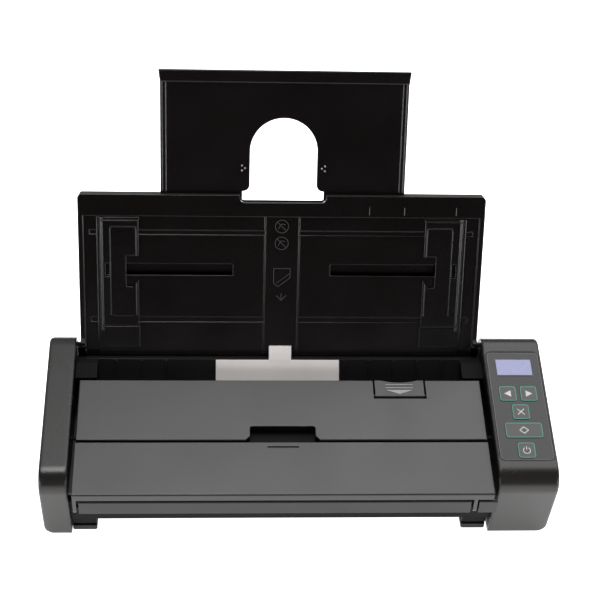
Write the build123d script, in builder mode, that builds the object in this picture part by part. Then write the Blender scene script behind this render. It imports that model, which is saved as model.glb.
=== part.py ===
"""Sheet-fed scanner with an open feed tray, in millimetres, +Z up.

X runs along the machine, -Y is its front, and the origin is the centre of the
bounding box's base with the feed tray open.
"""
from build123d import *
from math import atan2, ceil, cos, degrees, hypot, pi, radians, sin, sqrt, tan
import os

os.makedirs("parts", exist_ok=True)

# Casing
paper_width = 216.0
side_margin = 17.05
left_cap_width = 16.15
right_cap_width = 35.45
casing_depth = 109.2
nose_height = 56.0
top_slope = 9.5
front_lean = 8.7
nose_reach = 2.5
nose_radius = 12.0
rear_radius = 12.0
foot_edge_radius = 2.0
cap_corner_radius = 12.0
cap_foot_radius = 9.0
cap_edge_radius = 1.2
cap_wall = 2.2
cap_lift = 1.0
frame_thickness = 2.0
fit_gap = 0.15
pin_clearance = 0.05

# Deck: the panels between the end caps
deck_drop = 6.9
side_gap = 3.0
panel_thickness = 2.2
flap_thickness = 2.5
flap_front = -6.2
seam_front = 29.9
seam_rear = 31.7
panel_rear = 75.1
panel_edge_radius = 0.6

# Finger recess in the front edge of the upper panel
recess_width = 39.2
recess_length = 9.7
recess_depth = 6.0
recess_flare = 2.4
recess_wall = 1.5
recess_corner_radius = 1.5

# Front cover
cover_pivot_back = 2.9
cover_pivot_drop = 2.6
cover_pin_radius = 1.2
skirt_thickness = 2.4
skirt_depth = 7.0
cover_floor = 1.6
cover_wall = 2.0
cover_front = 36.0
cover_floor_rear = 69.0
cover_rear_knee = (73.2, 49.0)
cover_frame_inset = 1.0

# Paper path
path_floor = 41.0
path_gap = 2.4
guide_thickness = 2.0
path_joint = 65.4
chute_bend = 75.5
chute_top = (96.0, 59.4)
chute_skirt_bottom = 50.0
cheek_width = 13.2
cheek_rear = 88.6
cheek_drop = 1.0
rib_offsets = (-100.8, -85.6, -70.4, 40.0, 55.2, 70.4, 85.6, 100.8)
rib_width = 1.2
rib_height = 0.8
feed_window_run = 3.4
pickup_left_run = 39.65
pickup_right_run = 36.65
pickup_bottom = 5.2
pickup_thickness = 0.8
pickup_slot = 34.8
pickup_tab = 13.8
pickup_tab_end = -1.0
lever_offset = -46.35
lever_pivot = (86.0, 40.0)
lever_pin_radius = 1.0
lever_lug_top = 14.5
lever_window = 11.0
lever_window_from = -0.5
lever_window_to = 9.5
lever_tip = 8.0
lever_reach = 2.6

# Exit: front strip, flap lip and flap hinge
strip_front = -4.0
strip_rear = 2.0
strip_bottom = 31.0
strip_edge_radius = 1.4
exit_gap = 2.5
lip_thickness = 2.5
flap_pivot = (-1.0, 34.0)
flap_ear_radius = 3.3
flap_pin_radius = 1.2
leg_thickness = 2.1
leg_gap = 1.3
right_leg_inset = 11.2
flap_edge_radius = 1.2
groove_width = 18.5
groove_from = 26.0
groove_run = 1.2
groove_depth = 0.8

# Cover latch
latch_inset = 50.0
latch_width = 30.0
latch_rear = 75.0
latch_pivot = 64.8
latch_pivot_drop = 2.0
latch_nose = 1.9
latch_nose_radius = 1.0
latch_thickness = 2.0
latch_gap = 1.1
latch_boss = 3.0
latch_pin_radius = 0.8
scallop_radius = 40.0
scallop_depth = 1.6

# Base
base_bottom = 10.0
base_plate = 2.0
base_wall_front = 6.4
base_wall_foot = 14.4
foot_size = 14.5
foot_pad_height = 3.5
foot_neck_height = 2.5
foot_neck_inset = 1.8
foot_pad_radius = 1.2
foot_stem_radius = 2.0
foot_stem_length = 3.0
left_foot_inset = 0.2
right_foot_inset = 1.2
front_foot_y = 10.2
rear_foot_y = 86.0
rear_cover_inset = 5.3
rear_cover_wall = 2.0
rear_cover_top = 56.3
rear_cover_lip = 3.4
rear_wing_top = 63.0
rear_wing_gap = 0.3
flange_width = 7.0
flange_length = 12.0
flange_height = 3.0
screw_radius = 1.25
screw_head_radius = 2.5
screw_head_height = 1.4
wall_notches = ((-103.0, -94.3), (-44.8, -24.1), (2.1, 22.9), (73.3, 81.1))
wall_notch_depth = 3.0

# Electronics
board_left = -40.0
board_right = 80.0
board_front = 46.0
board_rear = 98.0
board_thickness = 1.6
standoff_height = 3.0
board_chips = ((0.0, 60.0, 14.0, 14.0), (30.0, 56.0, 9.0, 6.0), (-28.0, 62.0, 12.0, 8.0), (56.0, 70.0, 8.0, 8.0))
usb_centre = 26.0
usb_width = 12.0
usb_height = 10.8
usb_length = 16.0
power_centre = 54.0
power_radius = 4.0
power_length = 11.0

# Rollers and gears
shaft_radius = 3.0
feed_axis = (73.5, 33.2)
feed_tyre_radius = 8.5
feed_tyre_width = 40.0
drive_axis = (44.0, 34.5)
drive_tyre_radius = 7.0
drive_tyre_width = 21.0
tyre_offsets = (42.0, 85.0)
pinch_axis = (44.0, 46.8)
pinch_radius = 5.0
pinch_shaft_radius = 1.5
pinch_rib = 63.5
separation_axis = (72.0, 48.4)
separation_radius = 6.5
separation_width = 20.0
separation_shaft_radius = 2.0
window_gap = 1.0
bush_radius = 3.8
bush_flange_radius = 4.4
bush_flange = 1.0
gear_module = 0.8
drive_gear_teeth = 30
feed_gear_teeth = 30
idler_teeth = 16
motor_teeth = 10
gear_width = 5.0
gear_gap = 1.0
pressure_angle = radians(20)
tooth_backlash = 0.14
flank_steps = 3
motor_angle = 215.5
motor_radius = 11.0
motor_length = 25.0
motor_shaft_radius = 1.5
stud_radius = 2.5

# Image sensors
sensor_overrun = 3.0
sensor_width = 12.2
sensor_centre = 57.9
sensor_height = 10.0
upper_sensor_height = 9.0
glass_width = 9.6
glass_inset = 1.5

# Feed tray, in its own plane through the hinge axis
tray_lean = 67.3
tray_axis = (100.3, 67.5)
tray_pin_radius = 1.5
tray_ear_radius = 3.6
tray_shoulder = 5.5
tray_top = 95.2
tray_bottom = -7.7
tray_gap = 2.4
tray_shell = 6.2
tray_back_thickness = 1.0
tray_rim = 3.0
tray_recess = 1.8
tray_recess_top = 81.9
tray_floor = 1.0
tray_corner_radius = 2.5
notch_width = 51.7
notch_bottom = 90.6
notch_radius = 3.0
strip_width = 20.7
tray_grooves = ((14.1, 17.4), (70.0, 72.8))
groove_cut = 0.5
slot_width = 7.3

# Tray extension
extension_width = 146.7
extension_front = 4.4
extension_thickness = 1.7
extension_bottom = 71.5
extension_top = 169.5
extension_gap = 0.4
lip_length = 6.8
lip_height = 1.2
lip_overhang = 0.8
arch_width = 40.2
arch_top = 141.4
arch_foot_radius = 4.0
arch_step = 96.8
arch_step_width = 4.4
arch_band = 15.0
rail_inset = 1.2
rail_width = 2.2
rail_height = 0.3

# Paper guides
fence_length = 67.2
fence_bottom = 12.0
fence_height = 22.2
fence_back = 1.3
fence_front = 0.1
fence_axis_depth = 0.5
fence_pin_radius = 0.5
spine_width = 1.9
fence_notch_width = 7.5
fence_notch_bottom = 37.2
fence_notch_top = 57.0
guide_foot_bottom = -1.7
guide_arm = 1.8
pinion_teeth = 16
pinion_post_radius = 2.0
pinion_height = 47.95
rack_thickness = 1.0
rack_overrun = 6.0
rack_body = 2.5
guide_travel = 78.0

# Control panel, on the right end cap's top
control_recess = 1.2
control_gap = 0.1
control_edge = 1.6
control_front = 13.0
control_rear = 91.4
control_radius = 3.0
display_size = (22.8, 13.0)
display_place = (0.0, 80.1)
key_size = (10.1, 10.5)
key_proud = 0.35
key_depth = 4.4
key_radius = 1.5
key_gap = 0.15
key_edge_radius = 0.25
start_key_width = 22.2
key_offsets = {
    "key_back": (-6.2, 60.2),
    "key_forward": (6.5, 60.2),
    "key_cancel": (0.1, 46.9),
    "key_start": (0.3, 33.7),
    "key_power": (0.1, 19.6),
}
key_board_inset = 1.7
key_board_front = 15.0
key_board_rear = 89.0
board_post_inset = 4.0
board_post_rows = (19.0, 69.6)
key_board_depth = 7.0
key_board_thickness = 1.6
switch_height = 1.7

# Places worked out from the sizes above
slope = radians(top_slope)
lean = radians(tray_lean)
casing_width = left_cap_width + paper_width + 2 * side_margin + right_cap_width
bay_left = -casing_width / 2 + left_cap_width
bay_right = casing_width / 2 - right_cap_width
panel_left = bay_left + side_gap
panel_right = bay_right - side_gap
tray_left = bay_left + tray_gap
tray_right = bay_right - tray_gap
paper_centre = (bay_left + bay_right) / 2
rear_cover_front = casing_depth - rear_cover_inset - rear_cover_wall
sensor_length = paper_width + 2 * sensor_overrun
pickup_left = paper_centre - pickup_left_run
pickup_right = paper_centre + pickup_right_run
lever_x = paper_centre + lever_offset
latch_centre = panel_right - latch_inset
control_left = bay_right + control_edge
control_right = casing_width / 2 - control_edge
control_middle = (control_left + control_right) / 2
display_centre = (control_middle + display_place[0], display_place[1])
key_places = {name: (control_middle + x, s) for name, (x, s) in key_offsets.items()}
board_posts = [(x, s) for x in (control_left + board_post_inset, control_right - board_post_inset)
               for s in board_post_rows]
tray_depth = tray_shell + tray_back_thickness
rear_reach = tray_axis[0] + extension_top * cos(lean) + (extension_front + extension_thickness) * sin(lean)
front_reach = deck_drop * sin(slope) + flap_front * cos(slope)
nose_y = -(rear_reach + front_reach) / 2

top_plane = Plane(origin=(0, nose_y, nose_height), x_dir=(1, 0, 0), z_dir=(0, -sin(slope), cos(slope)))
deck_plane = top_plane.offset(-deck_drop)
chute_angle = atan2(chute_top[1] - path_floor, chute_top[0] - chute_bend)
chute_length = hypot(chute_top[1] - path_floor, chute_top[0] - chute_bend)
chute_plane = Plane(
    origin=(0, nose_y + chute_bend, path_floor),
    x_dir=(1, 0, 0),
    z_dir=(0, -sin(chute_angle), cos(chute_angle)),
)
tray_plane = Plane(
    origin=(0, nose_y + tray_axis[0], tray_axis[1]),
    x_dir=(1, 0, 0),
    z_dir=(0, -sin(lean), cos(lean)),
)


def deck(s, n=0.0):
    """Side-view point at distance s along the deck and n above it, measured from the nose."""
    return (deck_drop * sin(slope) + s * cos(slope) - n * sin(slope),
            nose_height - deck_drop * cos(slope) + s * sin(slope) + n * cos(slope))


def tray_side(t, n):
    """Side-view point at distance t up the tray and n in front of its rim plane, measured from the nose."""
    return (tray_axis[0] + t * cos(lean) - n * sin(lean), tray_axis[1] + t * sin(lean) + n * cos(lean))


def slab(points, x_from, x_to, mode=Mode.ADD):
    """Extrude a side-view polygon, its points measured from the nose, from x_from to x_to."""
    with BuildSketch(Plane.YZ.offset(x_from)) as profile:
        with BuildLine():
            Polyline(*[(nose_y + y, z) for y, z in points], close=True)
        make_face()
    extrude(profile.sketch, amount=x_to - x_from, dir=(1, 0, 0), mode=mode)


def block(x_from, x_to, y_from, y_to, z_from, z_to, mode=Mode.ADD):
    """A straight block, its y measured from the nose."""
    slab([(y_from, z_from), (y_to, z_from), (y_to, z_to), (y_from, z_to)], x_from, x_to, mode)


def rod(centre, radius, x_from, x_to, mode=Mode.ADD):
    """A cylinder along X about a side-view centre measured from the nose."""
    with BuildSketch(Plane.YZ.offset(x_from)) as circle:
        with Locations((nose_y + centre[0], centre[1])):
            Circle(radius)
    extrude(circle.sketch, amount=x_to - x_from, dir=(1, 0, 0), mode=mode)


def plate(plane, x_from, x_to, s_from, s_to, n_from, n_to, mode=Mode.ADD, radius=0.0):
    """A plate lying in a tilted plane, from n_from to n_to above it."""
    with BuildSketch(plane.offset(n_from)) as outline:
        with Locations(((x_from + x_to) / 2, (s_from + s_to) / 2)):
            if radius > 0:
                RectangleRounded(x_to - x_from, s_to - s_from, radius)
            else:
                Rectangle(x_to - x_from, s_to - s_from)
    extrude(outline.sketch, amount=n_to - n_from, dir=plane.z_dir, mode=mode)


def post(plane, x, s, radius, n_from, n_to, mode=Mode.ADD):
    """A round post standing on a tilted plane."""
    with BuildSketch(plane.offset(n_from)) as circle:
        with Locations((x, s)):
            Circle(radius)
    extrude(circle.sketch, amount=n_to - n_from, dir=plane.z_dir, mode=mode)


def casing_outline(x, inset=0.0):
    """Side view of an end cap at x, drawn smaller by inset."""
    nose = (-nose_reach * cos(slope), nose_height - nose_reach * sin(slope))
    foot_y = nose[0] + (nose[1] - cap_lift) * tan(radians(front_lean))
    rear_top = (casing_depth, nose_height + casing_depth * tan(slope))
    corners = [(foot_y, cap_lift), nose, rear_top, (casing_depth, cap_lift)]
    radii = [foot_edge_radius, nose_radius, rear_radius, foot_edge_radius]
    with BuildSketch(Plane.YZ.offset(x)) as outline:
        with BuildLine():
            FilletPolyline(*[(nose_y + y, z) for y, z in corners], radius=radii, close=True)
        make_face()
        if inset > 0:
            offset(amount=-inset)
    return outline.sketch


def write(piece, name):
    """Label a finished piece and write it under its own name."""
    piece.part.label = name
    export_step(piece.part, f"parts/{name}.step")


# End caps: open shells that close over the side frames
def round_corners(x_outer, x_inner, inset=0.0):
    """Round the rear and foot corners of the end cap block in the current part, inset from its outside."""
    outer_end = 0 if x_inner > x_outer else -1
    width = abs(x_inner - x_outer)
    middle = (x_outer + x_inner) / 2
    span = casing_depth + 2 * cap_corner_radius
    with BuildSketch(Plane.XY) as plan:
        with Locations((middle, nose_y + casing_depth - inset - span / 2)):
            Rectangle(width, span)
        rear_corner = plan.vertices().group_by(Axis.X)[outer_end].sort_by(Axis.Y)[-1]
        fillet(rear_corner, cap_corner_radius - inset)
    extrude(plan.sketch, amount=2 * nose_height, dir=(0, 0, 1), mode=Mode.INTERSECT)
    with BuildSketch(Plane.XZ.offset(-nose_y + span - casing_depth)) as front_view:
        with Locations((middle, cap_lift + inset + nose_height)):
            Rectangle(width, 2 * nose_height)
        foot_corner = front_view.vertices().group_by(Axis.X)[outer_end].sort_by(Axis.Y)[0]
        fillet(foot_corner, cap_foot_radius - inset)
    extrude(front_view.sketch, amount=2 * span, dir=(0, 1, 0), mode=Mode.INTERSECT)


def cap_shell(x_outer, x_inner):
    """The shell of an end cap, open towards the bay, in the current part."""
    inward = 1 if x_inner > x_outer else -1
    width = abs(x_inner - x_outer)
    extrude(casing_outline(x_outer), amount=width, dir=(inward, 0, 0))
    outer_face = faces().sort_by(Axis.X)[0 if inward > 0 else -1]
    fillet(outer_face.edges(), cap_edge_radius)
    round_corners(x_outer, x_inner)
    x_wall = x_outer + inward * cap_wall
    x_open = x_inner + inward
    with BuildPart(mode=Mode.PRIVATE) as cavity:
        extrude(casing_outline(x_wall, cap_wall), amount=abs(x_open - x_wall), dir=(inward, 0, 0))
        round_corners(x_wall, x_open, cap_wall)
    add(cavity.part, mode=Mode.SUBTRACT)


with BuildPart() as left_end_cap:
    cap_shell(-casing_width / 2, bay_left)
write(left_end_cap, "left_end_cap")


def key_width(name):
    """The start key is wide, the others are square."""
    return start_key_width if name == "key_start" else key_size[0]


with BuildPart() as right_end_cap:
    cap_shell(casing_width / 2, bay_right)
    plate(top_plane, control_left, control_right, control_front, control_rear, -control_recess, 1.0,
          Mode.SUBTRACT, control_radius)
    for name, (x, s) in key_places.items():
        half = key_width(name) / 2 + key_gap
        side = key_size[1] / 2 + key_gap
        plate(top_plane, x - half, x + half, s - side, s + side, -2 * cap_wall, 0, Mode.SUBTRACT, key_radius)
    plate(top_plane, display_centre[0] - display_size[0] / 2 - fit_gap,
          display_centre[0] + display_size[0] / 2 + fit_gap, display_centre[1] - display_size[1] / 2 - fit_gap,
          display_centre[1] + display_size[1] / 2 + fit_gap, -2 * cap_wall, 0, Mode.SUBTRACT)
    for x, s in board_posts:
        post(top_plane, x, s, 1.5, -key_board_depth, -cap_wall + 0.2)
write(right_end_cap, "right_end_cap")

with BuildPart() as control_panel:
    plate(top_plane, control_left + control_gap, control_right - control_gap, control_front + control_gap,
          control_rear - control_gap, -control_recess, -control_gap, radius=control_radius)
    for name, (x, s) in key_places.items():
        half = key_width(name) / 2 + key_gap
        side = key_size[1] / 2 + key_gap
        plate(top_plane, x - half, x + half, s - side, s + side, -2 * cap_wall, 0, Mode.SUBTRACT, key_radius)
    plate(top_plane, display_centre[0] - display_size[0] / 2 - control_gap,
          display_centre[0] + display_size[0] / 2 + control_gap,
          display_centre[1] - display_size[1] / 2 - control_gap,
          display_centre[1] + display_size[1] / 2 + control_gap, -2 * cap_wall, 0, Mode.SUBTRACT)
write(control_panel, "control_panel")

with BuildPart() as display_window:
    plate(top_plane, display_centre[0] - display_size[0] / 2, display_centre[0] + display_size[0] / 2,
          display_centre[1] - display_size[1] / 2, display_centre[1] + display_size[1] / 2,
          -control_recess, -control_gap)
write(display_window, "display_window")

with BuildPart() as display_module:
    plate(top_plane, display_centre[0] - display_size[0] / 2, display_centre[0] + display_size[0] / 2,
          display_centre[1] - display_size[1] / 2, display_centre[1] + display_size[1] / 2,
          -key_board_depth, -control_recess)
write(display_module, "display_module")

key_bottom = control_recess + key_depth
with BuildPart() as key_board:
    plate(top_plane, control_left + key_board_inset, control_right - key_board_inset, key_board_front,
          key_board_rear, -key_board_depth - key_board_thickness, -key_board_depth)
write(key_board, "key_board")

with BuildPart() as key_switches:
    for x, s in key_places.values():
        plate(top_plane, x - 3, x + 3, s - 3, s + 3, -key_board_depth, -key_board_depth + 0.9)
write(key_switches, "key_switches")

for name, (x, s) in key_places.items():
    with BuildPart() as key:
        plate(top_plane, x - key_width(name) / 2, x + key_width(name) / 2, s - key_size[1] / 2,
              s + key_size[1] / 2, -control_recess - 1.2, key_proud, radius=key_radius - key_gap)
        fillet(key.faces().sort_by(Axis((0, nose_y, nose_height), top_plane.z_dir))[-1].edges(), key_edge_radius)
        post(top_plane, x, s, 1.5, -key_bottom, -control_recess - 1.0)
    write(key, name)

# Side frames: plates inside the end caps that carry every axle
bush_hole = bush_radius + pin_clearance
idler_radius = idler_teeth * gear_module / 2
drive_gear_radius = drive_gear_teeth * gear_module / 2
feed_gear_radius = feed_gear_teeth * gear_module / 2
motor_reach = (drive_gear_teeth + motor_teeth) * gear_module / 2
motor_axis = (drive_axis[0] + motor_reach * cos(radians(motor_angle)),
              drive_axis[1] + motor_reach * sin(radians(motor_angle)))
axis_span = hypot(feed_axis[0] - drive_axis[0], feed_axis[1] - drive_axis[1])
axis_angle = atan2(feed_axis[1] - drive_axis[1], feed_axis[0] - drive_axis[0])
drive_reach = drive_gear_radius + idler_radius
feed_reach = feed_gear_radius + idler_radius
idler_along = (axis_span ** 2 + drive_reach ** 2 - feed_reach ** 2) / (2 * axis_span)
idler_across = sqrt(max(drive_reach ** 2 - idler_along ** 2, 0))
idler_axis = (drive_axis[0] + idler_along * cos(axis_angle) + idler_across * sin(axis_angle),
              drive_axis[1] + idler_along * sin(axis_angle) - idler_across * cos(axis_angle))
cover_pivot = deck(seam_rear + cover_pivot_back, -cover_pivot_drop)
plate_top = base_bottom + base_plate
flange_rows = (46.0, 68.0)
gears_from = bay_right + frame_thickness + gear_gap
gears_to = gears_from + gear_width


def side_frame(x_from, flange_from):
    """A side frame with its axle holes and the two flanges the base is screwed to."""
    extrude(casing_outline(x_from, cap_wall + fit_gap), amount=frame_thickness, dir=(1, 0, 0))
    for y in flange_rows:
        block(flange_from, flange_from + flange_width, y, y + flange_length, plate_top, plate_top + flange_height)
    for axis in (drive_axis, feed_axis):
        rod(axis, bush_hole, x_from, x_from + frame_thickness, Mode.SUBTRACT)
    rod(cover_pivot, cover_pin_radius + pin_clearance, x_from, x_from + frame_thickness, Mode.SUBTRACT)
    rod(tray_axis, tray_pin_radius + pin_clearance, x_from, x_from + frame_thickness, Mode.SUBTRACT)


def flange_screws(x, radius, z_from, z_to, mode=Mode.ADD):
    """Cylinders at the screw places of one side's flanges."""
    for y in flange_rows:
        with BuildSketch(Plane.XY.offset(z_from)) as circle:
            with Locations((x, nose_y + y + flange_length / 2)):
                Circle(radius)
        extrude(circle.sketch, amount=z_to - z_from, dir=(0, 0, 1), mode=mode)


left_screw_x = bay_left + flange_width / 2
right_screw_x = bay_right - flange_width / 2

with BuildPart() as left_side_frame:
    side_frame(bay_left - frame_thickness, bay_left)
    flange_screws(left_screw_x, screw_radius + pin_clearance, plate_top, plate_top + flange_height, Mode.SUBTRACT)
write(left_side_frame, "left_side_frame")

with BuildPart() as right_side_frame:
    side_frame(bay_right, bay_right - flange_width)
    flange_screws(right_screw_x, screw_radius + pin_clearance, plate_top, plate_top + flange_height, Mode.SUBTRACT)
    rod(motor_axis, motor_shaft_radius + 1.0, bay_right, bay_right + frame_thickness, Mode.SUBTRACT)
    rod(idler_axis, stud_radius, bay_right, gears_to + 1.2)
write(right_side_frame, "right_side_frame")

# Base plate with its front wall, foot bosses and board standoffs
base_left = bay_left + fit_gap
base_right = bay_right - fit_gap
wall_top = strip_bottom - 0.7
foot_top = foot_pad_height + foot_neck_height
foot_xs = (bay_left + left_foot_inset, bay_right - right_foot_inset - foot_size)
foot_ys = (front_foot_y, rear_foot_y)
foot_centres = [(x + foot_size / 2, nose_y + y + foot_size / 2) for x in foot_xs for y in foot_ys]
board_z = plate_top + standoff_height
board_corners = [(x, nose_y + y) for x in (board_left + 4, board_right - 4) for y in (board_front + 4, board_rear - 4)]

with BuildPart() as bottom_plate:
    chamfer_run = base_wall_foot - base_bottom
    slab([
        (base_wall_front, wall_top), (base_wall_front, base_wall_foot), (base_wall_front + chamfer_run, base_bottom),
        (rear_cover_front + rear_cover_wall, base_bottom), (rear_cover_front + rear_cover_wall, plate_top),
        (base_wall_front + chamfer_run + 0.8, plate_top), (base_wall_front + base_plate, base_wall_foot + 0.8),
        (base_wall_front + base_plate, wall_top),
    ], base_left, base_right)
    for x_from, x_to in wall_notches:
        block(x_from, x_to, base_wall_front - 1, base_wall_front + base_plate + 1, wall_top - wall_notch_depth,
              wall_top + 1, Mode.SUBTRACT)
    for x in foot_xs:
        for y in foot_ys:
            block(x, x + foot_size, y, y + foot_size, foot_top, base_bottom + 0.5)
    with BuildSketch(Plane.XY.offset(plate_top)) as standoffs:
        with Locations(*board_corners):
            Circle(3.0)
    extrude(standoffs.sketch, amount=standoff_height, dir=(0, 0, 1))
    with BuildSketch(Plane.XY.offset(foot_top)) as sockets:
        with Locations(*foot_centres):
            Circle(foot_stem_radius + pin_clearance)
    extrude(sockets.sketch, amount=foot_stem_length + 0.5, dir=(0, 0, 1), mode=Mode.SUBTRACT)
    flange_screws(left_screw_x, screw_radius + 0.15, base_bottom, plate_top, Mode.SUBTRACT)
    flange_screws(right_screw_x, screw_radius + 0.15, base_bottom, plate_top, Mode.SUBTRACT)
write(bottom_plate, "bottom_plate")

with BuildPart() as rubber_feet:
    with BuildSketch(Plane.XY) as pads:
        with Locations(*foot_centres):
            RectangleRounded(foot_size, foot_size, foot_pad_radius)
    extrude(pads.sketch, amount=foot_pad_height, dir=(0, 0, 1))
    with BuildSketch(Plane.XY.offset(foot_pad_height)) as necks:
        with Locations(*foot_centres):
            RectangleRounded(foot_size - 2 * foot_neck_inset, foot_size - 2 * foot_neck_inset, foot_pad_radius)
    extrude(necks.sketch, amount=foot_neck_height, dir=(0, 0, 1))
    with BuildSketch(Plane.XY.offset(foot_top)) as stems:
        with Locations(*foot_centres):
            Circle(foot_stem_radius)
    extrude(stems.sketch, amount=foot_stem_length, dir=(0, 0, 1))
write(rubber_feet, "rubber_feet")

with BuildPart() as case_screws:
    for x in (left_screw_x, right_screw_x):
        flange_screws(x, screw_head_radius, base_bottom - screw_head_height, base_bottom)
        flange_screws(x, screw_radius, base_bottom, plate_top + flange_height)
write(case_screws, "case_screws")

# Rear cover with the two sockets' windows
usb_left = usb_centre - usb_width / 2
board_top = board_z + board_thickness

with BuildPart() as rear_cover:
    block(base_left, base_right, rear_cover_front, rear_cover_front + rear_cover_wall, plate_top, rear_cover_top)
    block(base_left, base_right, rear_cover_front - rear_cover_lip, rear_cover_front + rear_cover_wall,
          rear_cover_top - rear_cover_wall, rear_cover_top)
    block(usb_left - 0.3, usb_left + usb_width + 0.3, rear_cover_front - 1, casing_depth, board_top - 0.3,
          board_top + usb_height + 0.3, Mode.SUBTRACT)
    with BuildSketch(Plane.XZ.offset(-nose_y - rear_cover_front - 2 * rear_cover_wall)) as power_window:
        with Locations((power_centre, board_top + power_radius + 0.5)):
            Circle(power_radius + 0.3)
    extrude(power_window.sketch, amount=3 * rear_cover_wall, dir=(0, -1, 0), mode=Mode.SUBTRACT)
    for x_from, x_to in ((base_left, tray_left + tray_rim - rear_wing_gap),
                         (tray_right - tray_rim + rear_wing_gap, base_right)):
        block(x_from, x_to, rear_cover_front, rear_cover_front + rear_cover_wall, rear_cover_top, rear_wing_top)
write(rear_cover, "rear_cover")

with BuildPart() as main_board:
    block(board_left, board_right, board_front, board_rear, board_z, board_top)
    for x, y, width, length in board_chips:
        block(x, x + width, y, y + length, board_top, board_top + 1.2)
write(main_board, "main_board")

with BuildPart() as usb_socket:
    block(usb_left, usb_left + usb_width, rear_cover_front + rear_cover_wall - usb_length,
          rear_cover_front + rear_cover_wall, board_top, board_top + usb_height)
    block(usb_left + 1.5, usb_left + usb_width - 1.5, rear_cover_front + rear_cover_wall - 9,
          rear_cover_front + rear_cover_wall, board_top + 1.5, board_top + usb_height - 1.5, Mode.SUBTRACT)
    block(usb_centre - 2.8, usb_centre + 2.8, rear_cover_front + rear_cover_wall - 9,
          rear_cover_front + rear_cover_wall - 1, board_top + 1.5, board_top + 4.2)
write(usb_socket, "usb_socket")

power_z = board_top + power_radius + 0.5
with BuildPart() as power_socket:
    block(power_centre - power_radius, power_centre + power_radius, rear_cover_front - power_length,
          rear_cover_front - 0.2, board_top, power_z + power_radius)
    with BuildSketch(Plane.XZ.offset(-nose_y - rear_cover_front - rear_cover_wall)) as barrel:
        with Locations((power_centre, power_z)):
            Circle(power_radius)
            Circle(power_radius - 1.2, mode=Mode.SUBTRACT)
    extrude(barrel.sketch, amount=rear_cover_wall + 0.4, dir=(0, -1, 0))
    with BuildSketch(Plane.XZ.offset(-nose_y - rear_cover_front - rear_cover_wall)) as bore:
        with Locations((power_centre, power_z)):
            Circle(power_radius - 1.2)
            Circle(0.9, mode=Mode.SUBTRACT)
    extrude(bore.sketch, amount=9.0, dir=(0, -1, 0), mode=Mode.SUBTRACT)
write(power_socket, "power_socket")

# Lower paper guide: path floor and front strip
left_leg_inner = panel_left + leg_thickness
right_leg_outer = panel_right - right_leg_inset + leg_thickness
right_leg_inner = panel_right - right_leg_inset
strip_left = left_leg_inner + leg_gap
strip_right = right_leg_inner - leg_gap
leg_rear = flap_pivot[0] + flap_ear_radius + 1.2
floor_bottom = path_floor - guide_thickness
tyre_centres = [paper_centre + sign * offset for offset in tyre_offsets for sign in (-1, 1)]
drive_window = sqrt(drive_tyre_radius ** 2 - (floor_bottom - drive_axis[1]) ** 2) + window_gap
glass_half = sensor_length / 2 - glass_inset

with BuildPart() as lower_guide:
    block(base_left, base_right, leg_rear, path_joint - fit_gap, floor_bottom, path_floor)
    block(strip_left, strip_right, strip_front, leg_rear, floor_bottom, path_floor)
    block(strip_left, strip_right, strip_front, strip_front + guide_thickness, strip_bottom, floor_bottom)
    block(strip_left, strip_right, strip_front, strip_rear, strip_bottom, strip_bottom + guide_thickness)
    for x in (strip_left, strip_right - guide_thickness):
        block(x, x + guide_thickness, strip_front, strip_rear, strip_bottom, path_floor)
    block(right_leg_outer + leg_gap, base_right, strip_front, leg_rear, strip_bottom, path_floor)
    for x in (strip_left, strip_right - guide_thickness):
        rod(flap_pivot, flap_pin_radius + pin_clearance, x, x + guide_thickness, Mode.SUBTRACT)
    front_edges = lower_guide.edges().filter_by(Axis.X).filter_by(
        lambda edge: edge.center().Y < nose_y + strip_front + 0.1 and edge.center().Z > path_floor - 0.1)
    fillet(front_edges, strip_edge_radius)
    for x in tyre_centres:
        block(x - drive_tyre_width / 2 - window_gap, x + drive_tyre_width / 2 + window_gap,
              drive_axis[0] - drive_window, drive_axis[0] + drive_window, floor_bottom, path_floor, Mode.SUBTRACT)
    block(paper_centre - glass_half - fit_gap, paper_centre + glass_half + fit_gap,
          sensor_centre - glass_width / 2 - fit_gap, sensor_centre + glass_width / 2 + fit_gap, floor_bottom,
          path_floor, Mode.SUBTRACT)
write(lower_guide, "lower_guide")

with BuildPart() as lower_sensor:
    block(paper_centre - sensor_length / 2, paper_centre + sensor_length / 2, sensor_centre - sensor_width / 2,
          sensor_centre + sensor_width / 2, floor_bottom - sensor_height, floor_bottom)
write(lower_sensor, "lower_sensor")

with BuildPart() as lower_glass:
    block(paper_centre - glass_half, paper_centre + glass_half, sensor_centre - glass_width / 2,
          sensor_centre + glass_width / 2, floor_bottom, path_floor)
write(lower_glass, "lower_glass")


# Feed chute: the dark slope the sheets slide down
def chute_side(v, n):
    """Side-view point at distance v up the chute from its bend and n above its face."""
    return (chute_bend + v * cos(chute_angle) - n * sin(chute_angle),
            path_floor + v * sin(chute_angle) + n * cos(chute_angle))


feed_window = sqrt(feed_tyre_radius ** 2 - (floor_bottom - feed_axis[1]) ** 2) + window_gap
cheek_front = chute_bend + 2.1
cheek_top = deck(cheek_rear, -cheek_drop)
cheek_front_top = (cheek_front, deck(panel_rear, -cheek_drop)[1] + 0.3)
chute_back = chute_top[0] + guide_thickness + 0.2

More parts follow.
